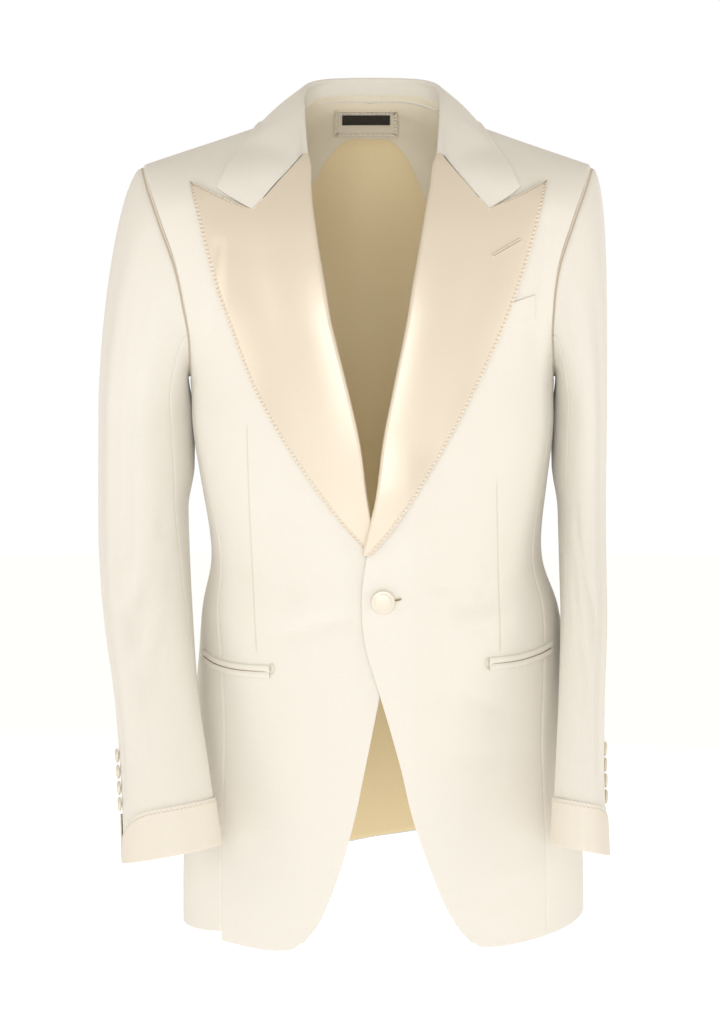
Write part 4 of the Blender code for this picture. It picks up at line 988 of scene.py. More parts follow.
def grid_facing(grid, i, j):
    """The direction that a grid looks in at one of its points."""
    points = grid.points
    along = points[j][min(i + 1, len(grid.us) - 1)] - points[j][max(i - 1, 0)]
    down = points[min(j + 1, len(grid.vs) - 1)][i] - points[max(j - 1, 0)][i]
    return along.cross(down).normalized()


def finishes_at(edges, v):
    """The finishes of a piece's four edges at a share of the way down it."""
    beside = "armhole" if v < ARMHOLE_SHARE else "soft seam"
    return [FINISH[beside if edge == "side" else edge] for edge in edges]


def roll_in(finishes, distances):
    """How far a cloth's face rolls in at a place, by its distances from the four edges."""
    return sum(f.roll_in * math.exp(-((d / f.reach) ** 2)) for f, d in zip(finishes, distances))


def thicker(finishes, distances):
    """How much thicker the cloth is at a place, where its edge is folded over."""
    ends = HEM_DEEP * HEM_STEP, HEM_DEEP
    return max(f.thicker * (1 - ease(d, *ends)) for f, d in zip(finishes, distances))


def put_on(grid, vertices, place, thick, inward, edges):
    """Moves vertices to the grid's face, or to its other side where thick isn't 0."""
    for vertex in vertices:
        i, j = place[vertex]
        distances, finishes = edge_distances(grid, i, j), finishes_at(edges, grid.vs[j])
        depth = roll_in(finishes, distances)
        if thick:
            depth += thick + thicker(finishes, distances)
        vertex.co = grid.points[j][i] + grid_facing(grid, i, j) * depth * inward


def write_uv(maker, grid, place, line, stitch):
    """Lengths across and down the cloth for its weave, and distances from its seams and its stitches."""
    weave, lines, stitches = (maker.loops.layers.uv.new(name) for name in ("Weave", "Line", "Stitch"))
    middle = len(grid.us) // 2
    marks = {}
    for i in range(len(grid.us)):
        for j in range(len(grid.vs)):
            marks[i, j] = [rule(grid, i, j) if rule else (FAR, 0.0) for rule in (line, stitch)]
    for part in maker.faces:
        for loop in part.loops:
            i, j = place[loop.vert]
            loop[weave].uv = (grid.across[j][i] - grid.across[j][middle], grid.down[j][i])
            loop[lines].uv, loop[stitches].uv = marks[i, j]


def cloth(name, face, make, inward, line=None, stitch=None):
    """A piece of cloth on face(u, v). inward is 1 or -1, the sign of the face's hidden side."""
    columns, rows, thick = make.columns, make.rows, make.thick
    grid = grid_of(face, columns, rows, make.bunch)
    maker = bmesh.new()
    bmesh.ops.create_grid(maker, x_segments=columns, y_segments=rows, size=0.5)
    outer = list(maker.verts)
    made = bmesh.ops.extrude_face_region(maker, geom=maker.faces[:])
    inner = [thing for thing in made["geom"] if isinstance(thing, bmesh.types.BMVert)]
    place = {}
    for vertex in outer + inner:
        place[vertex] = (round((vertex.co.x + 0.5) * columns), round((vertex.co.y + 0.5) * rows))
    put_on(grid, outer, place, 0, inward, make.edges)
    put_on(grid, inner, place, thick, inward, make.edges)
    write_uv(maker, grid, place, line, stitch)
    bmesh.ops.recalc_face_normals(maker, faces=maker.faces[:])
    return rounded(finished(name, maker, make.kind), thick * ROUND_SHARE)


def placed(name, maker, material):
    """Turns a bmesh into an object of the scene, in one material."""
    mesh = bpy.data.meshes.new(name)
    maker.to_mesh(mesh)
    maker.free()
    mesh.materials.append(material)
    made = bpy.data.objects.new(name, mesh)
    bpy.context.scene.collection.objects.link(made)
    return made


def finished(name, maker, kind):
    """Turns a bmesh into a shown piece that rides on the frame."""
    piece = placed(name, maker, bpy.data.materials[kind])
    piece.data.shade_smooth()
    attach(piece, "root")
    return piece


def rounded(piece, width):
    """Rounds the cut edges of a piece."""
    bevel = piece.modifiers.new("Rounded edge", "BEVEL")
    bevel.width = width
    bevel.segments = 2
    bevel.limit_method = "ANGLE"
    bevel.angle_limit = math.radians(EDGE_ANGLE)
    return piece


def sew(name, face, make, inward, line=None, stitch=None):
    """Makes a piece of cloth, and hides the CAD piece it replaces."""
    piece = cloth(name + "_cloth", face, make, inward, line, stitch)
    if name not in SCENE_ONLY:
        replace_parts(piece, name)


# ---- looks ----

# A look: the record's material slot, its colour in light and in the shadow of its weave, how rough
# it is, its nap, the threads in a millimetre, how deep the weave is, how metallic it is and which
# sewing it shows.
Look = namedtuple("Look", "slot colour shade rough nap threads weave metal sewing", defaults=(0.0, ()))
CREPE_WEAVE, FINE_CREPE_WEAVE, THREAD_WEAVE, SATIN_WEAVE = 0.00012, 0.00008, 0.00006, 0.000002
BOTH_SEWINGS, STITCHED, GROOVED = ("groove with painted shade", "stitches"), ("stitches",), ("groove with painted shade",)
WOOL, LAPEL_SHINE = (0.86, 0.828, 0.762), 0.34
LOOKS = {
    "wool crepe": Look("wool", WOOL, (0.80, 0.765, 0.695), 0.82, 0.25, 1.1, CREPE_WEAVE, 0.0, BOTH_SEWINGS),
    "lapel satin": Look(
        "satin", (0.815, 0.72, 0.60), (0.765, 0.67, 0.545), LAPEL_SHINE, 0.0, 2.2, SATIN_WEAVE, 0.25, STITCHED
    ),
    "cuff satin": Look(
        "satin", (0.85, 0.79, 0.70), (0.80, 0.74, 0.64), 0.50, 0.0, 2.2, SATIN_WEAVE, 0.0, STITCHED
    ),
    "button satin": Look("satin", (0.84, 0.78, 0.67), (0.76, 0.69, 0.58), 0.36, 0.0, 2.2, SATIN_WEAVE, 0.2),
    "lining satin": Look(
        "lining", (0.96, 0.80, 0.50), (0.89, 0.73, 0.44), 0.45, 0.0, 2.6, SATIN_WEAVE, 0.0, GROOVED
    ),
    "stitched crepe": Look(
        "wool", (0.86, 0.79, 0.66), (0.80, 0.73, 0.60), 0.80, 0.2, 1.4, FINE_CREPE_WEAVE, 0.0, STITCHED
    ),
    # painted light: partly the facing's own cream, partly made lighter and warmer to stand for the light on
    # the top of the inside
    "facing crepe with painted light": Look("wool", (0.93, 0.86, 0.71), (0.87, 0.80, 0.65), 0.80, 0.2, 1.4, FINE_CREPE_WEAVE),
    "silk thread": Look("satin", (0.84, 0.76, 0.64), (0.70, 0.62, 0.50), 0.50, 0.1, 1.8, THREAD_WEAVE),
    "wool thread": Look("wool", (0.80, 0.73, 0.61), (0.66, 0.58, 0.46), 0.65, 0.1, 1.8, THREAD_WEAVE),
    # painted shade: the slits' dark brown stands for the shadow inside them
    "slit": Look("wool", (0.30, 0.19, 0.09), (0.22, 0.13, 0.06), 0.90, 0.0, 1.0, 0.0),
    "black label": Look(
        "label", (0.012, 0.011, 0.011), (0.004, 0.004, 0.004), 0.55, 0.1, 1.6, THREAD_WEAVE
    ),
}
# How a kind of sewing shows: the UV layer that places it, its colour beside the cloth's (a groove's is
# painted shade), how strongly.
Sewing = namedtuple("Sewing", "layer tint strength")
SEWINGS = {
    # painted shade: a groove darkens the cloth's colour along darts and armhole seams
    "groove with painted shade": Sewing("Line", (0.66, 0.52, 0.36), 0.75),
    "stitches": Sewing("Stitch", (1.10, 1.12, 1.14), 0.60),
}
USUAL_THREADS, USUAL_WEAVE = 1.5, 0.0001  # what the weave group starts with
CREPE_GRAIN, GRAIN_DETAIL, GRAIN_ROUGH = 700.0, 3.0, 0.6
CROSS_SHARE = 0.25  # how high the crossed threads stand beside the grain of the yarn
SHADE_ENDS = (0.1, 0.9)  # weave heights between which the colour goes from shade to light
STITCH_INSET, STITCH_PITCH = 0.0024, 0.0042
STITCH_HALF, STITCH_DEPTH = 0.0017, 0.0007
STITCH_MARK, STITCH_DIMPLE = (0.35, 0.75), (0.2, 1.3)  # shares of that half over which each ends
GROOVE_HALF, GROOVE_DEPTH, GROOVE_FADE = 0.0012, 0.0005, 0.02
PRESS_SCALE, PRESS_DETAIL = 14.0, 2.0
UNEVEN = 0.25  # how much the shine changes over a cloth
USUAL_UNEVEN = 0.1  # what its group starts with


def put(tree, socket, value):
    """Joins an input to another node's socket, or sets it to a value."""
    if isinstance(value, bpy.types.NodeSocket):
        tree.links.new(value, socket)
    else:
        socket.default_value = value


def add_node(tree, kind, inputs=None, **settings):
    """A node with its settings, and its inputs joined to sockets or set to values."""
    made = tree.nodes.new(kind)
    for name, value in settings.items():
        setattr(made, name, value)
    for name, value in (inputs or {}).items():
        put(tree, made.inputs[name], value)
    return made


def calc(tree, operation, *values):
    """One sum on up to three values."""
    made = add_node(tree, "ShaderNodeMath", operation=operation)
    for socket, value in zip(made.inputs, values):
        put(tree, socket, value)
    return made.outputs[0]


def smooth(tree, value, start, end, low, high):
    """A smooth step from low to high as value goes from start to end."""
    given = {"Value": value, "From Min": start, "From Max": end, "To Min": low, "To Max": high}
    made = add_node(tree, "ShaderNodeMapRange", given, interpolation_type="SMOOTHSTEP")
    return made.outputs["Result"]


def sunk(tree, mark, depth):
    """The height of a mark that goes down into the cloth."""
    return calc(tree, "MULTIPLY", calc(tree, "MULTIPLY", mark, -1.0), depth)


def new_group(name, inputs, outputs):
    """An empty shader group with named inputs and outputs, and the sockets inside it."""
    tree = bpy.data.node_groups.new(name, "ShaderNodeTree")
    for label, kind, value in inputs:
        socket = tree.interface.new_socket(label, in_out="INPUT", socket_type=kind)
        if value is not None:
            socket.default_value = value
    for label in outputs:
        tree.interface.new_socket(label, in_out="OUTPUT", socket_type="NodeSocketFloat")
    given = tree.nodes.new("NodeGroupInput")
    result = tree.nodes.new("NodeGroupOutput")
    return tree, given.outputs, result.inputs


def weave_group():
    """Threads that cross: Height in metres, and Shade from 0 between threads to 1 on them."""
    tree, given, result = new_group(
        "Cloth weave",
        [
            ("Place", "NodeSocketVector", None),
            ("Threads per mm", "NodeSocketFloat", USUAL_THREADS),
            ("Depth", "NodeSocketFloat", USUAL_WEAVE),
        ],
        ("Height", "Shade"),
    )
    turns = calc(tree, "MULTIPLY", given["Threads per mm"], 1000 * 2 * math.pi)
    place = add_node(tree, "ShaderNodeSeparateXYZ", {"Vector": given["Place"]})
    warp = calc(tree, "SINE", calc(tree, "MULTIPLY", place.outputs["X"], turns))
    weft = calc(tree, "SINE", calc(tree, "MULTIPLY", place.outputs["Y"], turns))
    crossed = calc(tree, "MULTIPLY", warp, weft)
    yarn = {"Vector": given["Place"], "Scale": CREPE_GRAIN, "Detail": GRAIN_DETAIL, "Roughness": GRAIN_ROUGH}
    grain = add_node(tree, "ShaderNodeTexNoise", yarn)
    mixed = calc(tree, "MULTIPLY_ADD", crossed, CROSS_SHARE, grain.outputs["Fac"])
    tree.links.new(smooth(tree, mixed, *SHADE_ENDS, 0.0, 1.0), result["Shade"])
    tree.links.new(calc(tree, "MULTIPLY", mixed, given["Depth"]), result["Height"])
    return tree


def stitch_group():
    """A row of pick stitches: Mark is 1 on a stitch, and Height puffs up between them."""
    tree, given, result = new_group(
        "Pick stitches",
        [
            ("Line", "NodeSocketVector", None),
            ("Inset", "NodeSocketFloat", STITCH_INSET),
            ("Pitch", "NodeSocketFloat", STITCH_PITCH),
            ("Half width", "NodeSocketFloat", STITCH_HALF),
            ("Depth", "NodeSocketFloat", STITCH_DEPTH),
        ],
        ("Mark", "Height"),
    )
    line = add_node(tree, "ShaderNodeSeparateXYZ", {"Vector": given["Line"]})
    off = calc(tree, "ABSOLUTE", calc(tree, "SUBTRACT", line.outputs["X"], given["Inset"]))
    step = calc(tree, "FRACT", calc(tree, "DIVIDE", line.outputs["Y"], given["Pitch"]))
    from_middle = calc(tree, "ABSOLUTE", calc(tree, "SUBTRACT", step, 0.5))
    along = calc(tree, "MULTIPLY", from_middle, given["Pitch"])
    squares = [calc(tree, "POWER", length, 2.0) for length in (off, along)]
    share = calc(tree, "DIVIDE", calc(tree, "SQRT", calc(tree, "ADD", *squares)), given["Half width"])
    tree.links.new(smooth(tree, share, *STITCH_MARK, 1.0, 0.0), result["Mark"])
    dimple = smooth(tree, share, *STITCH_DIMPLE, 1.0, 0.0)
    tree.links.new(sunk(tree, dimple, given["Depth"]), result["Height"])
    return tree


def groove_group():
    """A sewn line such as a dart: Mark is 1 in it, and Height goes down into it. Mark also darkens the colour
    there, a painted shade.
    """
    tree, given, result = new_group(
        "Sewn groove with painted shade",
        [
            ("Line", "NodeSocketVector", None),
            ("Half width", "NodeSocketFloat", GROOVE_HALF),
            ("Depth", "NodeSocketFloat", GROOVE_DEPTH),
        ],
        ("Mark", "Height"),
    )
    line = add_node(tree, "ShaderNodeSeparateXYZ", {"Vector": given["Line"]})
    off = calc(tree, "DIVIDE", calc(tree, "ABSOLUTE", line.outputs["X"]), given["Half width"])
    within = smooth(tree, line.outputs["Y"], 0.0, GROOVE_FADE, 0.0, 1.0)
    deep = calc(tree, "MULTIPLY", smooth(tree, off, 0.0, 1.0, 1.0, 0.0), within)
    tree.links.new(deep, result["Mark"])
    tree.links.new(sunk(tree, deep, given["Depth"]), result["Height"])
    return tree


def sheen_group():
    """Slow uneven change over the cloth, as a factor round 1."""
    tree, given, result = new_group(
        "Uneven finish",
        [("Place", "NodeSocketVector", None), ("Amount", "NodeSocketFloat", USUAL_UNEVEN)],
        ("Factor",),
    )
    pressing = {"Vector": given["Place"], "Scale": PRESS_SCALE, "Detail": PRESS_DETAIL}
    noise = add_node(tree, "ShaderNodeTexNoise", pressing)
    centred = calc(tree, "SUBTRACT", noise.outputs["Fac"], 0.5)
    tree.links.new(calc(tree, "MULTIPLY_ADD", centred, given["Amount"], 1.0), result["Factor"])
    return tree


def use_group(tree, group, **inputs):
    """The outputs of a group put into a tree. An input's name has _ for each space."""
    made = tree.nodes.new("ShaderNodeGroup")
    made.node_tree = group
    for name, value in inputs.items():
        put(tree, made.inputs[name.replace("_", " ")], value)
    return made.outputs


def mix_colour(tree, factor, first, second):
    """The colour that lies between two colours by a factor."""
    made = add_node(tree, "ShaderNodeMix", data_type="RGBA", inputs={"Factor": factor})
    for name, value in (("A", first), ("B", second)):
        socket = next(s for s in made.inputs if s.name == name and s.type == "RGBA")
        put(tree, socket, (*value, 1) if isinstance(value, tuple) else value)
    return next(s for s in made.outputs if s.type == "RGBA")


def make_look(name, look, groups, stitches):
    """A cloth's material: its weave, its sewing, with painted shade in its grooves, and a slightly uneven
    finish. stitches sets its stitches.
    """
    made = bpy.data.materials.new(name)
    made.use_nodes = True
    tree = made.node_tree
    shader = tree.nodes["Principled BSDF"]
    weave_uv = add_node(tree, "ShaderNodeUVMap", uv_map="Weave").outputs["UV"]
    weave = use_group(tree, groups["weave"], Place=weave_uv, Threads_per_mm=look.threads, Depth=look.weave)
    colour = mix_colour(tree, weave["Shade"], look.shade, look.colour)
    height = weave["Height"]
    for kind in look.sewing:
        sewing = SEWINGS[kind]
        place = add_node(tree, "ShaderNodeUVMap", uv_map=sewing.layer).outputs["UV"]
        sewn = use_group(tree, groups[kind], Line=place, **(stitches if kind == "stitches" else {}))
        mark = calc(tree, "MULTIPLY", sewn["Mark"], sewing.strength)
        # a groove's tint is painted shade along its seam; a stitch's is its thread's lighter colour
        tint = tuple(a * b for a, b in zip(look.shade, sewing.tint))
        colour = mix_colour(tree, mark, colour, tint)
        height = calc(tree, "ADD", height, sewn["Height"])
    uneven = use_group(tree, groups["finish"], Place=weave_uv, Amount=UNEVEN)["Factor"]
    tree.links.new(colour, shader.inputs["Base Color"])
    tree.links.new(calc(tree, "MULTIPLY", uneven, look.rough), shader.inputs["Roughness"])
    shader.inputs["Sheen Weight"].default_value = look.nap
    shader.inputs["Metallic"].default_value = look.metal
    bump = add_node(tree, "ShaderNodeBump", {"Height": height, "Distance": 1.0, "Strength": 1.0})
    tree.links.new(bump.outputs["Normal"], shader.inputs["Normal"])
    made.diffuse_color = (*look.colour, 1)
    return made


# ---- thread and buttons ----

OUT = Vector((0, -1, 0))  # away from the cloth of a front
THREAD_SIDES = 6
THREAD_STEP = 0.002  # share of a thread's length that gives its direction
THREAD_END = 8  # how bluntly an open thread ends, as a power
MERGE = 0.000001
PURL_PITCH = 0.0011  # one stitch of a worked buttonhole
PURL_ROWS, PURL_PUFF = 4, 0.35  # rows to a purl, and how much thicker it is in its middle

# A buttonhole from its inner to its outer end: half its width, the height of its thread's middle
# over the front and half the thread's thickness.
Buttonhole = namedtuple("Buttonhole", "x1 z1 x2 z2 half height thread kind")
FRONT_BUTTONHOLE = Buttonhole(0.0160, -0.4546, 0.0265, -0.4522, 0.0012, 0.0004, 0.0005, "wool thread")
LAPEL_BUTTONHOLE = Buttonhole(0.1090, -0.1392, 0.1352, -0.1238, 0.0011, 0.0040, 0.0009, "silk thread")

Tack = namedtuple("Tack", "side x z")
TACKS = (Tack(RIGHT, -0.0940, -0.5205), Tack(LEFT, 0.1075, -0.5148))
TACK_HALF, TACK_WIDE, TACK_FULL = 0.0052, 0.0032, 0.8  # its size, and how full its half-moon is
TACK_HEIGHT, TACK_THREAD, TACK_ROWS = 0.0009, 0.00032, 60
# the dark threads laid in the slits are painted shade, standing for the shadow inside them
SLIT_HEIGHT, SLIT_RADIUS = 0.0012, 0.00040
SLIT_ENDS, SLIT_TAPER = (0.02, 0.97), (1.4, 0.3)  # shares of a pocket's length and of that radius
HOLE_SLIT_ROWS, POCKET_SLIT_ROWS = 12, 60

BUTTON_GRID = (40, 20)  # segments and rings
BUTTON_FLATNESS = 0.62  # 1 is a round dome, less is a flatter one
RIM_DIP, RIM_AT, RIM_WIDE = 0.0005, 0.80, 0.07  # a groove in a button, at a share of its radius
BUTTON_PROBE = 0.01  # height over the front that gives the way the button faces


def thread(name, path, radius, rows, kind, closed):
    """A thread laid on a front: path(t) is its middle, radius(t) half its thickness."""
    maker = bmesh.new()
    bmesh.ops.create_grid(maker, x_segments=THREAD_SIDES, y_segments=rows, size=0.5)
    for vertex in maker.verts:
        around, t = (vertex.co.x + 0.5) * 2 * math.pi, vertex.co.y + 0.5
        ahead = (path(t + THREAD_STEP) - path(t - THREAD_STEP)).normalized()
        out = (OUT - ahead * OUT.dot(ahead)).normalized()
        end = 1 if closed else math.sqrt(max(0.0, 1 - (2 * t - 1) ** THREAD_END))
        over = out * math.cos(around) + ahead.cross(out) * math.sin(around)
        vertex.co = path(t) + over * (radius(t) * end)
    bmesh.ops.remove_doubles(maker, verts=maker.verts[:], dist=MERGE)
    bmesh.ops.recalc_face_normals(maker, faces=maker.faces[:])
    return finished(name, maker, kind)


def stadium(t, length, half):
    """Place along and across a slot with round ends, by the share of the way round it."""
    straight = length - 2 * half
    whole = 2 * straight + 2 * math.pi * half
    run = (t % 1) * whole
    if run < straight:
        return half + run, half
    if run < straight + math.pi * half:
        turn = (run - straight) / half
        return half + straight + half * math.sin(turn), half * math.cos(turn)
    if run < 2 * straight + math.pi * half:
        return half + straight - (run - straight - math.pi * half), -half
    turn = (run - 2 * straight - math.pi * half) / half
    return half - half * math.sin(turn), -half * math.cos(turn)


def worked_buttonhole(name, hole):
    """The purled loop of a buttonhole on the wearer's left front."""
    length = math.hypot(hole.x2 - hole.x1, hole.z2 - hole.z1)
    way_x, way_z = (hole.x2 - hole.x1) / length, (hole.z2 - hole.z1) / length
    purls = round(2 * length / PURL_PITCH)

    def path(t):
        along, over = stadium(t, length, hole.half)
        x = hole.x1 + along * way_x - over * way_z
        return lifted(LEFT, x, hole.z1 + along * way_z + over * way_x, hole.height)

    def radius(t):
        return hole.thread * (1 + PURL_PUFF * math.sin(2 * math.pi * purls * t))

    thread(name, path, radius, PURL_ROWS * purls, hole.kind, True)


def buttonhole_slit_shade(hole):
    """Painted shade in the open slit of the front buttonhole, beside the button: a dark thread."""
    def path(t):
        return lifted(LEFT, mix(hole.x1, hole.x2, t), mix(hole.z1, hole.z2, t), SLIT_HEIGHT)

    thread("front_buttonhole_slit_shade", path, lambda t: SLIT_RADIUS, HOLE_SLIT_ROWS, "slit", False)


def pocket_tack(tack):
    """The half-moon of thread that closes the front end of a pocket."""
    def path(t):
        turn = 2 * math.pi * t
        over = max(0.0, math.cos(turn)) ** TACK_FULL * TACK_WIDE
        z = tack.z + TACK_HALF * math.sin(turn)
        return lifted(tack.side, tack.x - tack.side * over, z, TACK_HEIGHT)

    name = "pocket_tack_" + SIDE_NAME[tack.side]
    thread(name, path, lambda t: TACK_THREAD, TACK_ROWS, "wool thread", True)


def pocket_slit_shade(side):
    """A dark thread of painted shade where the two jets of a pocket meet."""
    def path(t):
        return lifted(side, *pocket_at(side, mix(*SLIT_ENDS, t)), SLIT_HEIGHT)

    def radius(t):
        return SLIT_RADIUS * mix(*SLIT_TAPER, t)

    thread("pocket_slit_shade_" + SIDE_NAME[side], path, radius, POCKET_SLIT_ROWS, "slit", False)


def covered_button(node, centre, outward, radius, height):
    """A button under drawn-over cloth, a low dome with a rolled rim, in the place of its node."""
    maker = bmesh.new()
    segments, rings = BUTTON_GRID
    bmesh.ops.create_uvsphere(maker, u_segments=segments, v_segments=rings, radius=radius)
    turn = outward.to_track_quat("Z", "Y")
    for vertex in maker.verts:
        flat = vertex.co.z / radius
        rim = math.hypot(vertex.co.x, vertex.co.y) / radius
        dip = RIM_DIP * math.exp(-(((rim - RIM_AT) / RIM_WIDE) ** 2)) if flat > 0 else 0.0
        vertex.co.z = height * (0.5 + 0.5 * power(flat, BUTTON_FLATNESS)) - dip
        vertex.co = centre + turn @ vertex.co
    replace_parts(finished(node + "_covered", maker, "button satin"), node)


# ---- pieces ----

def armhole_line(grid, i, j):
    """Distance from the armhole edge of a front or back panel, which ends at the underarm."""
    from_edge = edge_distances(grid, i, j)[1]
    return from_edge * ARMHOLE_LINE, (ARMHOLE_SHARE - grid.vs[j]) * LINE_FADE


def sleeve_head_line(grid, i, j):
    """Distance from where a sleeve's head goes under the panels."""
    return (grid.down[j][i] - HEAD_LINE_DOWN) * ARMHOLE_LINE, FAR


def dart_line(side):
    """Distance from a front's dart or from its armhole, and how far inside its ends."""
    name = SIDE_NAME[side]
    dart_top = DART_TOP[side]

    def line(grid, i, j):
        point = grid.points[j][i]
        inside = min(dart_top - point.z, point.z - DART[-1].z, DART_STRENGTH)
        if inside > 0:
            return point.x - read(DART, name, point.z), inside
        return armhole_line(grid, i, j)

    return line


def outer_edge_line(first_column):
    """Distance from the edge at u 1, and from the one at v 0 beyond a share of the columns."""
    def line(grid, i, j):
        _, right, top, _ = edge_distances(grid, i, j)
        if top < right and grid.us[i] > first_column:
            return top, grid.across[0][i]
        return right, grid.down[j][-1]

    return line


def top_edge_line(grid, i, j):
    """Distance from the edge at v 0."""
    return grid.down[j][i], grid.across[0][i]


def all_edges_line(grid, i, j):
    """Distance from the nearest edge."""
    left, right, top, bottom = edge_distances(grid, i, j)
    near = min(left, right, top, bottom)
    return near, grid.across[j][i] if near in (top, bottom) else grid.down[j][i]


def pocket_at(side, share):
    """X and Z of a pocket's slit, at a share of its length from the side."""
    name = SIDE_NAME[side]
    return read(POCKET, name + "_x", share), read(POCKET, name + "_z", share)


def jets_face(side):
    """The two jets of a pocket: u along them, v across them. Each is a rounded fold of cloth."""
    def face(u, v):
        x, z = pocket_at(side, u)
        over = abs(2 * v - 1)
        puff = math.sqrt(max(0.0, 1 - (2 * over - 1) ** 2))
        return lifted(side, x, z + POCKET_HALF * (1 - 2 * v), mix(JET_BASE, JET_TOP, puff))

    return face


def neck_facing_face(u, v):
    """The cloth facing round the inside of the neck, over the lining. It hangs lower at its sides. Its cream
    partly paints the light on the top of the inside.
    """
    way = (2 * u - 1) * NECK_FACING_REACH
    side = -1 if way < 0 else 1
    top = NECK_FACING_TOP
    low = mix(NECK_FACING_LOW, NECK_FACING_SIDE, ease(abs(way) / NECK_FACING_REACH, *NECK_FACING_CURVE))
    down = mix(top, low, v)
    point = inside_back(side, LINING_DEPTH + NECK_FACING_LIFT)(abs(way) * LINING_REACH, down)
    within_neck = 1 - ease(abs(point.x), *FACING_TURN_ENDS)
    return point.lerp(stand_foot(point.x), within_neck * (1 - ease(v, 0, FACING_TURN_UP)))


def stand_foot(x):
    """Where the facing meets the collar's stand, at a distance to the side."""
    reach = min(abs(x), COLLAR[3].seam_x)
    below, above = next((a, b) for a, b in zip(COLLAR, COLLAR[1:]) if reach <= b.seam_x)
    t = (reach - below.seam_x) / (above.seam_x - below.seam_x)
    y, z = mix(below.seam_y, above.seam_y, t), mix(below.seam_z, above.seam_z, t)
    return Vector((x, y - FACING_OVERLAP_Y, z + FACING_OVERLAP_Z))


def sew_body():
    for side in (RIGHT, LEFT):
        name = SIDE_NAME[side]
        sew("front_" + name, front_panel(side), FRONT_MAKE, side, dart_line(side))
        sew("side_" + name, side_panel(side), SIDE_MAKE, side)
        sew("back_" + name, back_panel(side), BACK_MAKE, -side, armhole_line)


def sew_lapels_and_collar():
    line = outer_edge_line(ROLL_SHARE + NOTCH_COLUMN * (1 - ROLL_SHARE))
    for side in (RIGHT, LEFT):
        sew("lapel_" + SIDE_NAME[side], lapel_face(side), LAPEL_MAKE, side, None, line)
    sew("collar", collar_face, COLLAR_MAKE, -1)


def sew_sleeves():
    for side in (RIGHT, LEFT):
        name = SIDE_NAME[side]
        sew("sleeve_top_" + name, sleeve_piece(side, False), TOP_SLEEVE_MAKE, side, sleeve_head_line)
        sew("sleeve_under_" + name, sleeve_piece(side, True), UNDER_SLEEVE_MAKE, side, sleeve_head_line)
        sew("cuff_" + name, cuff_face(side), CUFF_MAKE, side, None, top_edge_line)


def sew_pockets():
    for side in (RIGHT, LEFT):
        sew("pocket_" + SIDE_NAME[side], jets_face(side), POCKET_MAKE, -side)
        pocket_slit_shade(side)
    for tack in TACKS:
        pocket_tack(tack)
    sew("breast_welt", welt_face, WELT_MAKE, 1)


def sew_inside():
    sew("back_lining", lining_face, LINING_MAKE, 1)
    sew("neck_facing", neck_facing_face, NECK_FACING_MAKE, 1)
    patch = patch_face(PATCH_WIDTH, PATCH_HEIGHT, PATCH_TOP, PATCH_DEPTH)
    sew("neck_patch", patch, PATCH_MAKE, 1, None, all_edges_line)
    sew("neck_label", patch_face(LABEL_WIDTH, LABEL_HEIGHT, LABEL_TOP, LABEL_DEPTH), LABEL_MAKE, 1)


def sew_buttons():
    centre = lifted(LEFT, BUTTON_X, BUTTON_Z, SEAM_GAP)
    outward = (lifted(LEFT, BUTTON_X, BUTTON_Z, BUTTON_PROBE) - centre).normalized()
    covered_button("front_button", centre, outward, BUTTON_RADIUS, BUTTON_HEIGHT)
    worked_buttonhole("front_buttonhole", FRONT_BUTTONHOLE)
    worked_buttonhole("lapel_buttonhole", LAPEL_BUTTONHOLE)
    buttonhole_slit_shade(FRONT_BUTTONHOLE)
    for side in (RIGHT, LEFT):
        for i in range(SLEEVE_BUTTONS):
            node = f"sleeve_button_{SIDE_NAME[side]}_{i + 1}"
            place = sleeve_button_place(side, i)
            covered_button(node, *place, SLEEVE_BUTTON_RADIUS, SLEEVE_BUTTON_HEIGHT)


def sleeve_button_place(side, i):
    """The middle of a sleeve button's underside and the way it faces, counted up from the hem."""
    z = SLEEVE[side][-1].z + SLEEVE_BUTTON_LOW + i * SLEEVE_BUTTON_PITCH
    return over_sleeve(side, SLEEVE_BACK_SEAM_HEM[side], z, SEAM_GAP)


# ---- stage ----

FLOOR_Z, FLOOR_COLOUR, FLOOR_ROUGH, FLOOR_GLOW = -1.10, (0.5, 0.5, 0.5), 0.9, 0.72
DOME_RADIUS, DOME_ROUNDS, DOME_GLOW = 9.0, 4, 1.0
AMBIENT, AMBIENT_COLOUR = 0.56, (1.0, 0.93, 0.82, 1)
LENS, SENSOR, CAMERA, CAMERA_DOWN = 102.64, 36, (-0.0115, -2.8, -0.2063), 3.57
LAMP_AIM = Vector((0, 0, -0.40))
WARM = (1.0, 0.95, 0.86)
Lamp = namedtuple("Lamp", "name x y z wide high power colour")
LAMPS = (
    Lamp("front softbox", -0.2, -3.2, 0.05, 2.4, 1.2, 32.0, (0.965, 0.985, 1.0)),
    Lamp("left softbox", -2.6, -1.0, -0.10, 1.0, 1.8, 9.0, WARM),
    Lamp("right softbox", 2.6, -1.0, -0.10, 1.0, 1.8, 11.0, WARM),
    Lamp("back softbox", 0.6, 3.2, 0.30, 2.4, 1.2, 26.0, (1.0, 0.98, 0.95)),
)


def plain_material(name, colour, rough, glow):
    """A material of one colour that glows evenly."""
    made = bpy.data.materials.new(name)
    made.use_nodes = True
    shader = made.node_tree.nodes["Principled BSDF"]
    shader.inputs["Base Color"].default_value = (*colour, 1)
    shader.inputs["Roughness"].default_value = rough
    shader.inputs["Emission Color"].default_value = (1, 1, 1, 1)
    shader.inputs["Emission Strength"].default_value = glow
    return made


def lay_floor():
    """A pale floor under the jacket."""
    maker = bmesh.new()
    bmesh.ops.create_grid(maker, x_segments=1, y_segments=1, size=DOME_RADIUS)
    pale = plain_material("pale floor", FLOOR_COLOUR, FLOOR_ROUGH, FLOOR_GLOW)
    floor = placed("floor", maker, pale)
    floor.location.z = FLOOR_Z


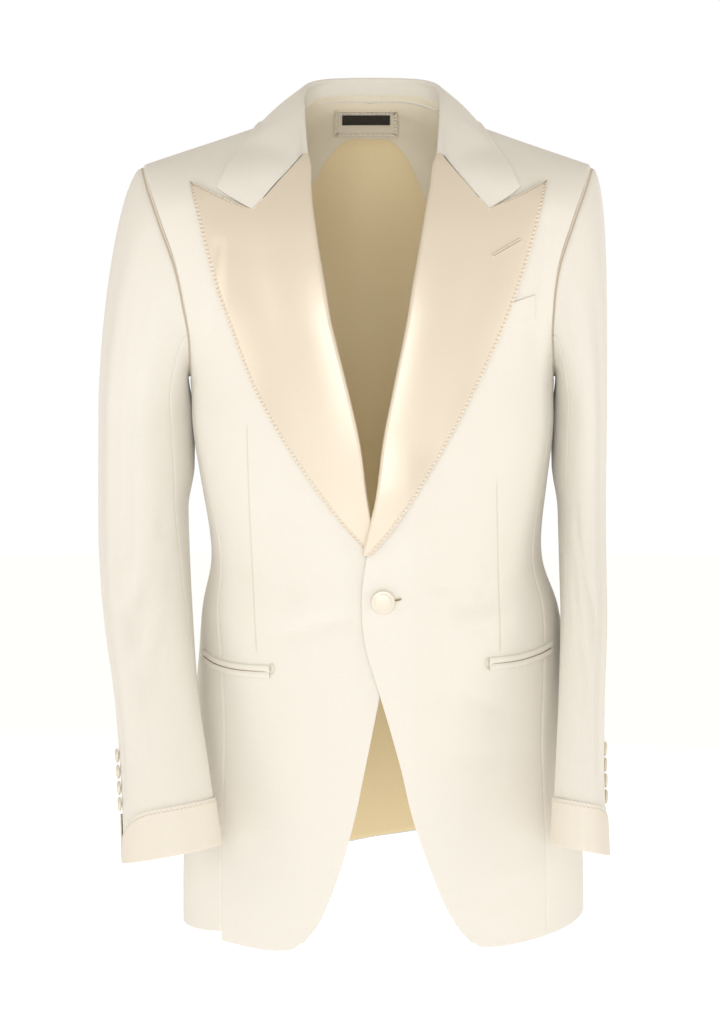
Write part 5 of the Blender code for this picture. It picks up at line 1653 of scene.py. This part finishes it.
def put_up_surround():
    """A plain white dome all round that is seen but throws no light."""
    maker = bmesh.new()
    bmesh.ops.create_icosphere(maker, subdivisions=DOME_ROUNDS, radius=DOME_RADIUS)
    dome = placed("surround", maker, plain_material("white surround", (0, 0, 0), 1.0, DOME_GLOW))
    dome.visible_diffuse = dome.visible_glossy = dome.visible_shadow = False


def add_lamp(lamp):
    """A softbox that shines on the middle of the jacket and isn't seen itself."""
    data = bpy.data.lights.new(lamp.name, "AREA")
    data.shape, data.size, data.size_y, data.energy = "RECTANGLE", lamp.wide, lamp.high, lamp.power
    data.color = lamp.colour
    made = bpy.data.objects.new(lamp.name, data)
    made.location = (lamp.x, lamp.y, lamp.z)
    made.visible_camera = False
    made.rotation_mode = "QUATERNION"
    made.rotation_quaternion = (LAMP_AIM - made.location).to_track_quat("-Z", "Y")
    bpy.context.scene.collection.objects.link(made)


def add_camera():
    data = bpy.data.cameras.new("camera")
    data.lens, data.sensor_fit, data.sensor_height = LENS, "VERTICAL", SENSOR
    camera = bpy.data.objects.new("camera", data)
    camera.location, camera.rotation_euler = CAMERA, (math.radians(90 - CAMERA_DOWN), 0, 0)
    bpy.context.scene.collection.objects.link(camera)
    bpy.context.scene.camera = camera


def set_stage():
    lay_floor()
    put_up_surround()
    for lamp in LAMPS:
        add_lamp(lamp)
    world = bpy.data.worlds.new("studio")
    world.use_nodes = True
    world.node_tree.nodes["Background"].inputs["Color"].default_value = AMBIENT_COLOUR
    world.node_tree.nodes["Background"].inputs["Strength"].default_value = AMBIENT
    bpy.context.scene.world = world
    bpy.context.scene.view_settings.view_transform = "Standard"
    add_camera()


# ---- add-on ----

class JacketSettings(bpy.types.PropertyGroup):
    """Sizes and finishes that a user would change."""

    crease_depth: bpy.props.FloatProperty(
        name="Crease depth",
        description="How deep the creases and folds are, as a share",
        default=1.0,
        min=0.0,
        max=2.0,
        subtype="FACTOR",
    )
    stitch_pitch: bpy.props.FloatProperty(
        name="Pick stitch pitch",
        description="From one pick stitch to the next",
        default=STITCH_PITCH,
        min=0.001,
        max=0.02,
        unit="LENGTH",
    )
    stitch_inset: bpy.props.FloatProperty(
        name="Pick stitch inset",
        description="From the cloth's edge to the row of stitches",
        default=STITCH_INSET,
        min=0.0005,
        max=0.01,
        unit="LENGTH",
    )
    satin_roughness: bpy.props.FloatProperty(
        name="Satin roughness",
        description="How soft the shine of the lapels' satin is",
        default=LAPEL_SHINE,
        min=0.05,
        max=1.0,
        subtype="FACTOR",
    )
    wool_colour: bpy.props.FloatVectorProperty(
        name="Wool colour",
        description="Colour of the wool crepe",
        default=WOOL,
        size=3,
        min=0.0,
        max=1.0,
        subtype="COLOR",
    )


def make_looks():
    groups = {
        "weave": weave_group(),
        "stitches": stitch_group(),
        "groove with painted shade": groove_group(),
        "finish": sheen_group(),
    }
    settings = bpy.context.scene.jacket
    stitches = {"Pitch": settings.stitch_pitch, "Inset": settings.stitch_inset}
    for name, look in LOOKS.items():
        if name == "lapel satin":
            look = look._replace(rough=settings.satin_roughness)
        if name == "wool crepe":
            look = look._replace(colour=tuple(settings.wool_colour))
        make_look(name, look, groups, stitches)


class JACKET_OT_looks(bpy.types.Operator):
    """Makes the cloths' materials and the shader groups that they share"""

    bl_idname = "jacket.looks"
    bl_label = "Make the cloths"

    def execute(self, context):
        make_looks()
        return {"FINISHED"}


class JACKET_OT_body(bpy.types.Operator):
    """Sews the fronts, side panels and back"""

    bl_idname = "jacket.body"
    bl_label = "Sew the body"

    def execute(self, context):
        sew_body()
        return {"FINISHED"}


class JACKET_OT_lapels(bpy.types.Operator):
    """Sews the lapels and the collar"""

    bl_idname = "jacket.lapels"
    bl_label = "Sew the lapels and collar"

    def execute(self, context):
        sew_lapels_and_collar()
        return {"FINISHED"}


class JACKET_OT_sleeves(bpy.types.Operator):
    """Sews the sleeves and their turned-back cuffs"""

    bl_idname = "jacket.sleeves"
    bl_label = "Sew the sleeves"

    def execute(self, context):
        sew_sleeves()
        return {"FINISHED"}


class JACKET_OT_pockets(bpy.types.Operator):
    """Sews the hip pockets with their tacks, and the breast welt"""

    bl_idname = "jacket.pockets"
    bl_label = "Sew the pockets"

    def execute(self, context):
        sew_pockets()
        return {"FINISHED"}


class JACKET_OT_buttons(bpy.types.Operator):
    """Sews on the buttons and works the buttonholes"""

    bl_idname = "jacket.buttons"
    bl_label = "Sew the buttons"

    def execute(self, context):
        sew_buttons()
        return {"FINISHED"}


class JACKET_OT_inside(bpy.types.Operator):
    """Sews the back lining, the neck facing, and the patch and label on them"""

    bl_idname = "jacket.inside"
    bl_label = "Sew the inside"

    def execute(self, context):
        sew_inside()
        return {"FINISHED"}


class JACKET_OT_stage(bpy.types.Operator):
    """Sets the floor, the white surround, the lamps and the camera"""

    bl_idname = "jacket.stage"
    bl_label = "Set the stage"

    def execute(self, context):
        set_stage()
        return {"FINISHED"}


class JACKET_PT_panel(bpy.types.Panel):
    """The steps that make the jacket"""

    bl_label = "Dinner jacket"
    bl_idname = "JACKET_PT_panel"
    bl_space_type = "VIEW_3D"
    bl_region_type = "UI"
    bl_category = "Jacket"

    def draw(self, context):
        for name in JacketSettings.__annotations__:
            self.layout.prop(context.scene.jacket, name)
        for step in STEPS:
            self.layout.operator(step.bl_idname)


STEPS = (
    JACKET_OT_looks,
    JACKET_OT_body,
    JACKET_OT_lapels,
    JACKET_OT_sleeves,
    JACKET_OT_pockets,
    JACKET_OT_buttons,
    JACKET_OT_inside,
    JACKET_OT_stage,
)
CLASSES = (JacketSettings, *STEPS, JACKET_PT_panel)


def register():
    for made in CLASSES:
        bpy.utils.register_class(made)
    bpy.types.Scene.jacket = bpy.props.PointerProperty(type=JacketSettings)


def unregister():
    del bpy.types.Scene.jacket
    for made in reversed(CLASSES):
        bpy.utils.unregister_class(made)


def main():
    register()
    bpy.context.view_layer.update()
    for step in STEPS:
        getattr(bpy.ops.jacket, step.bl_idname.split(".")[1])()


if __name__ == "__main__":
    main()
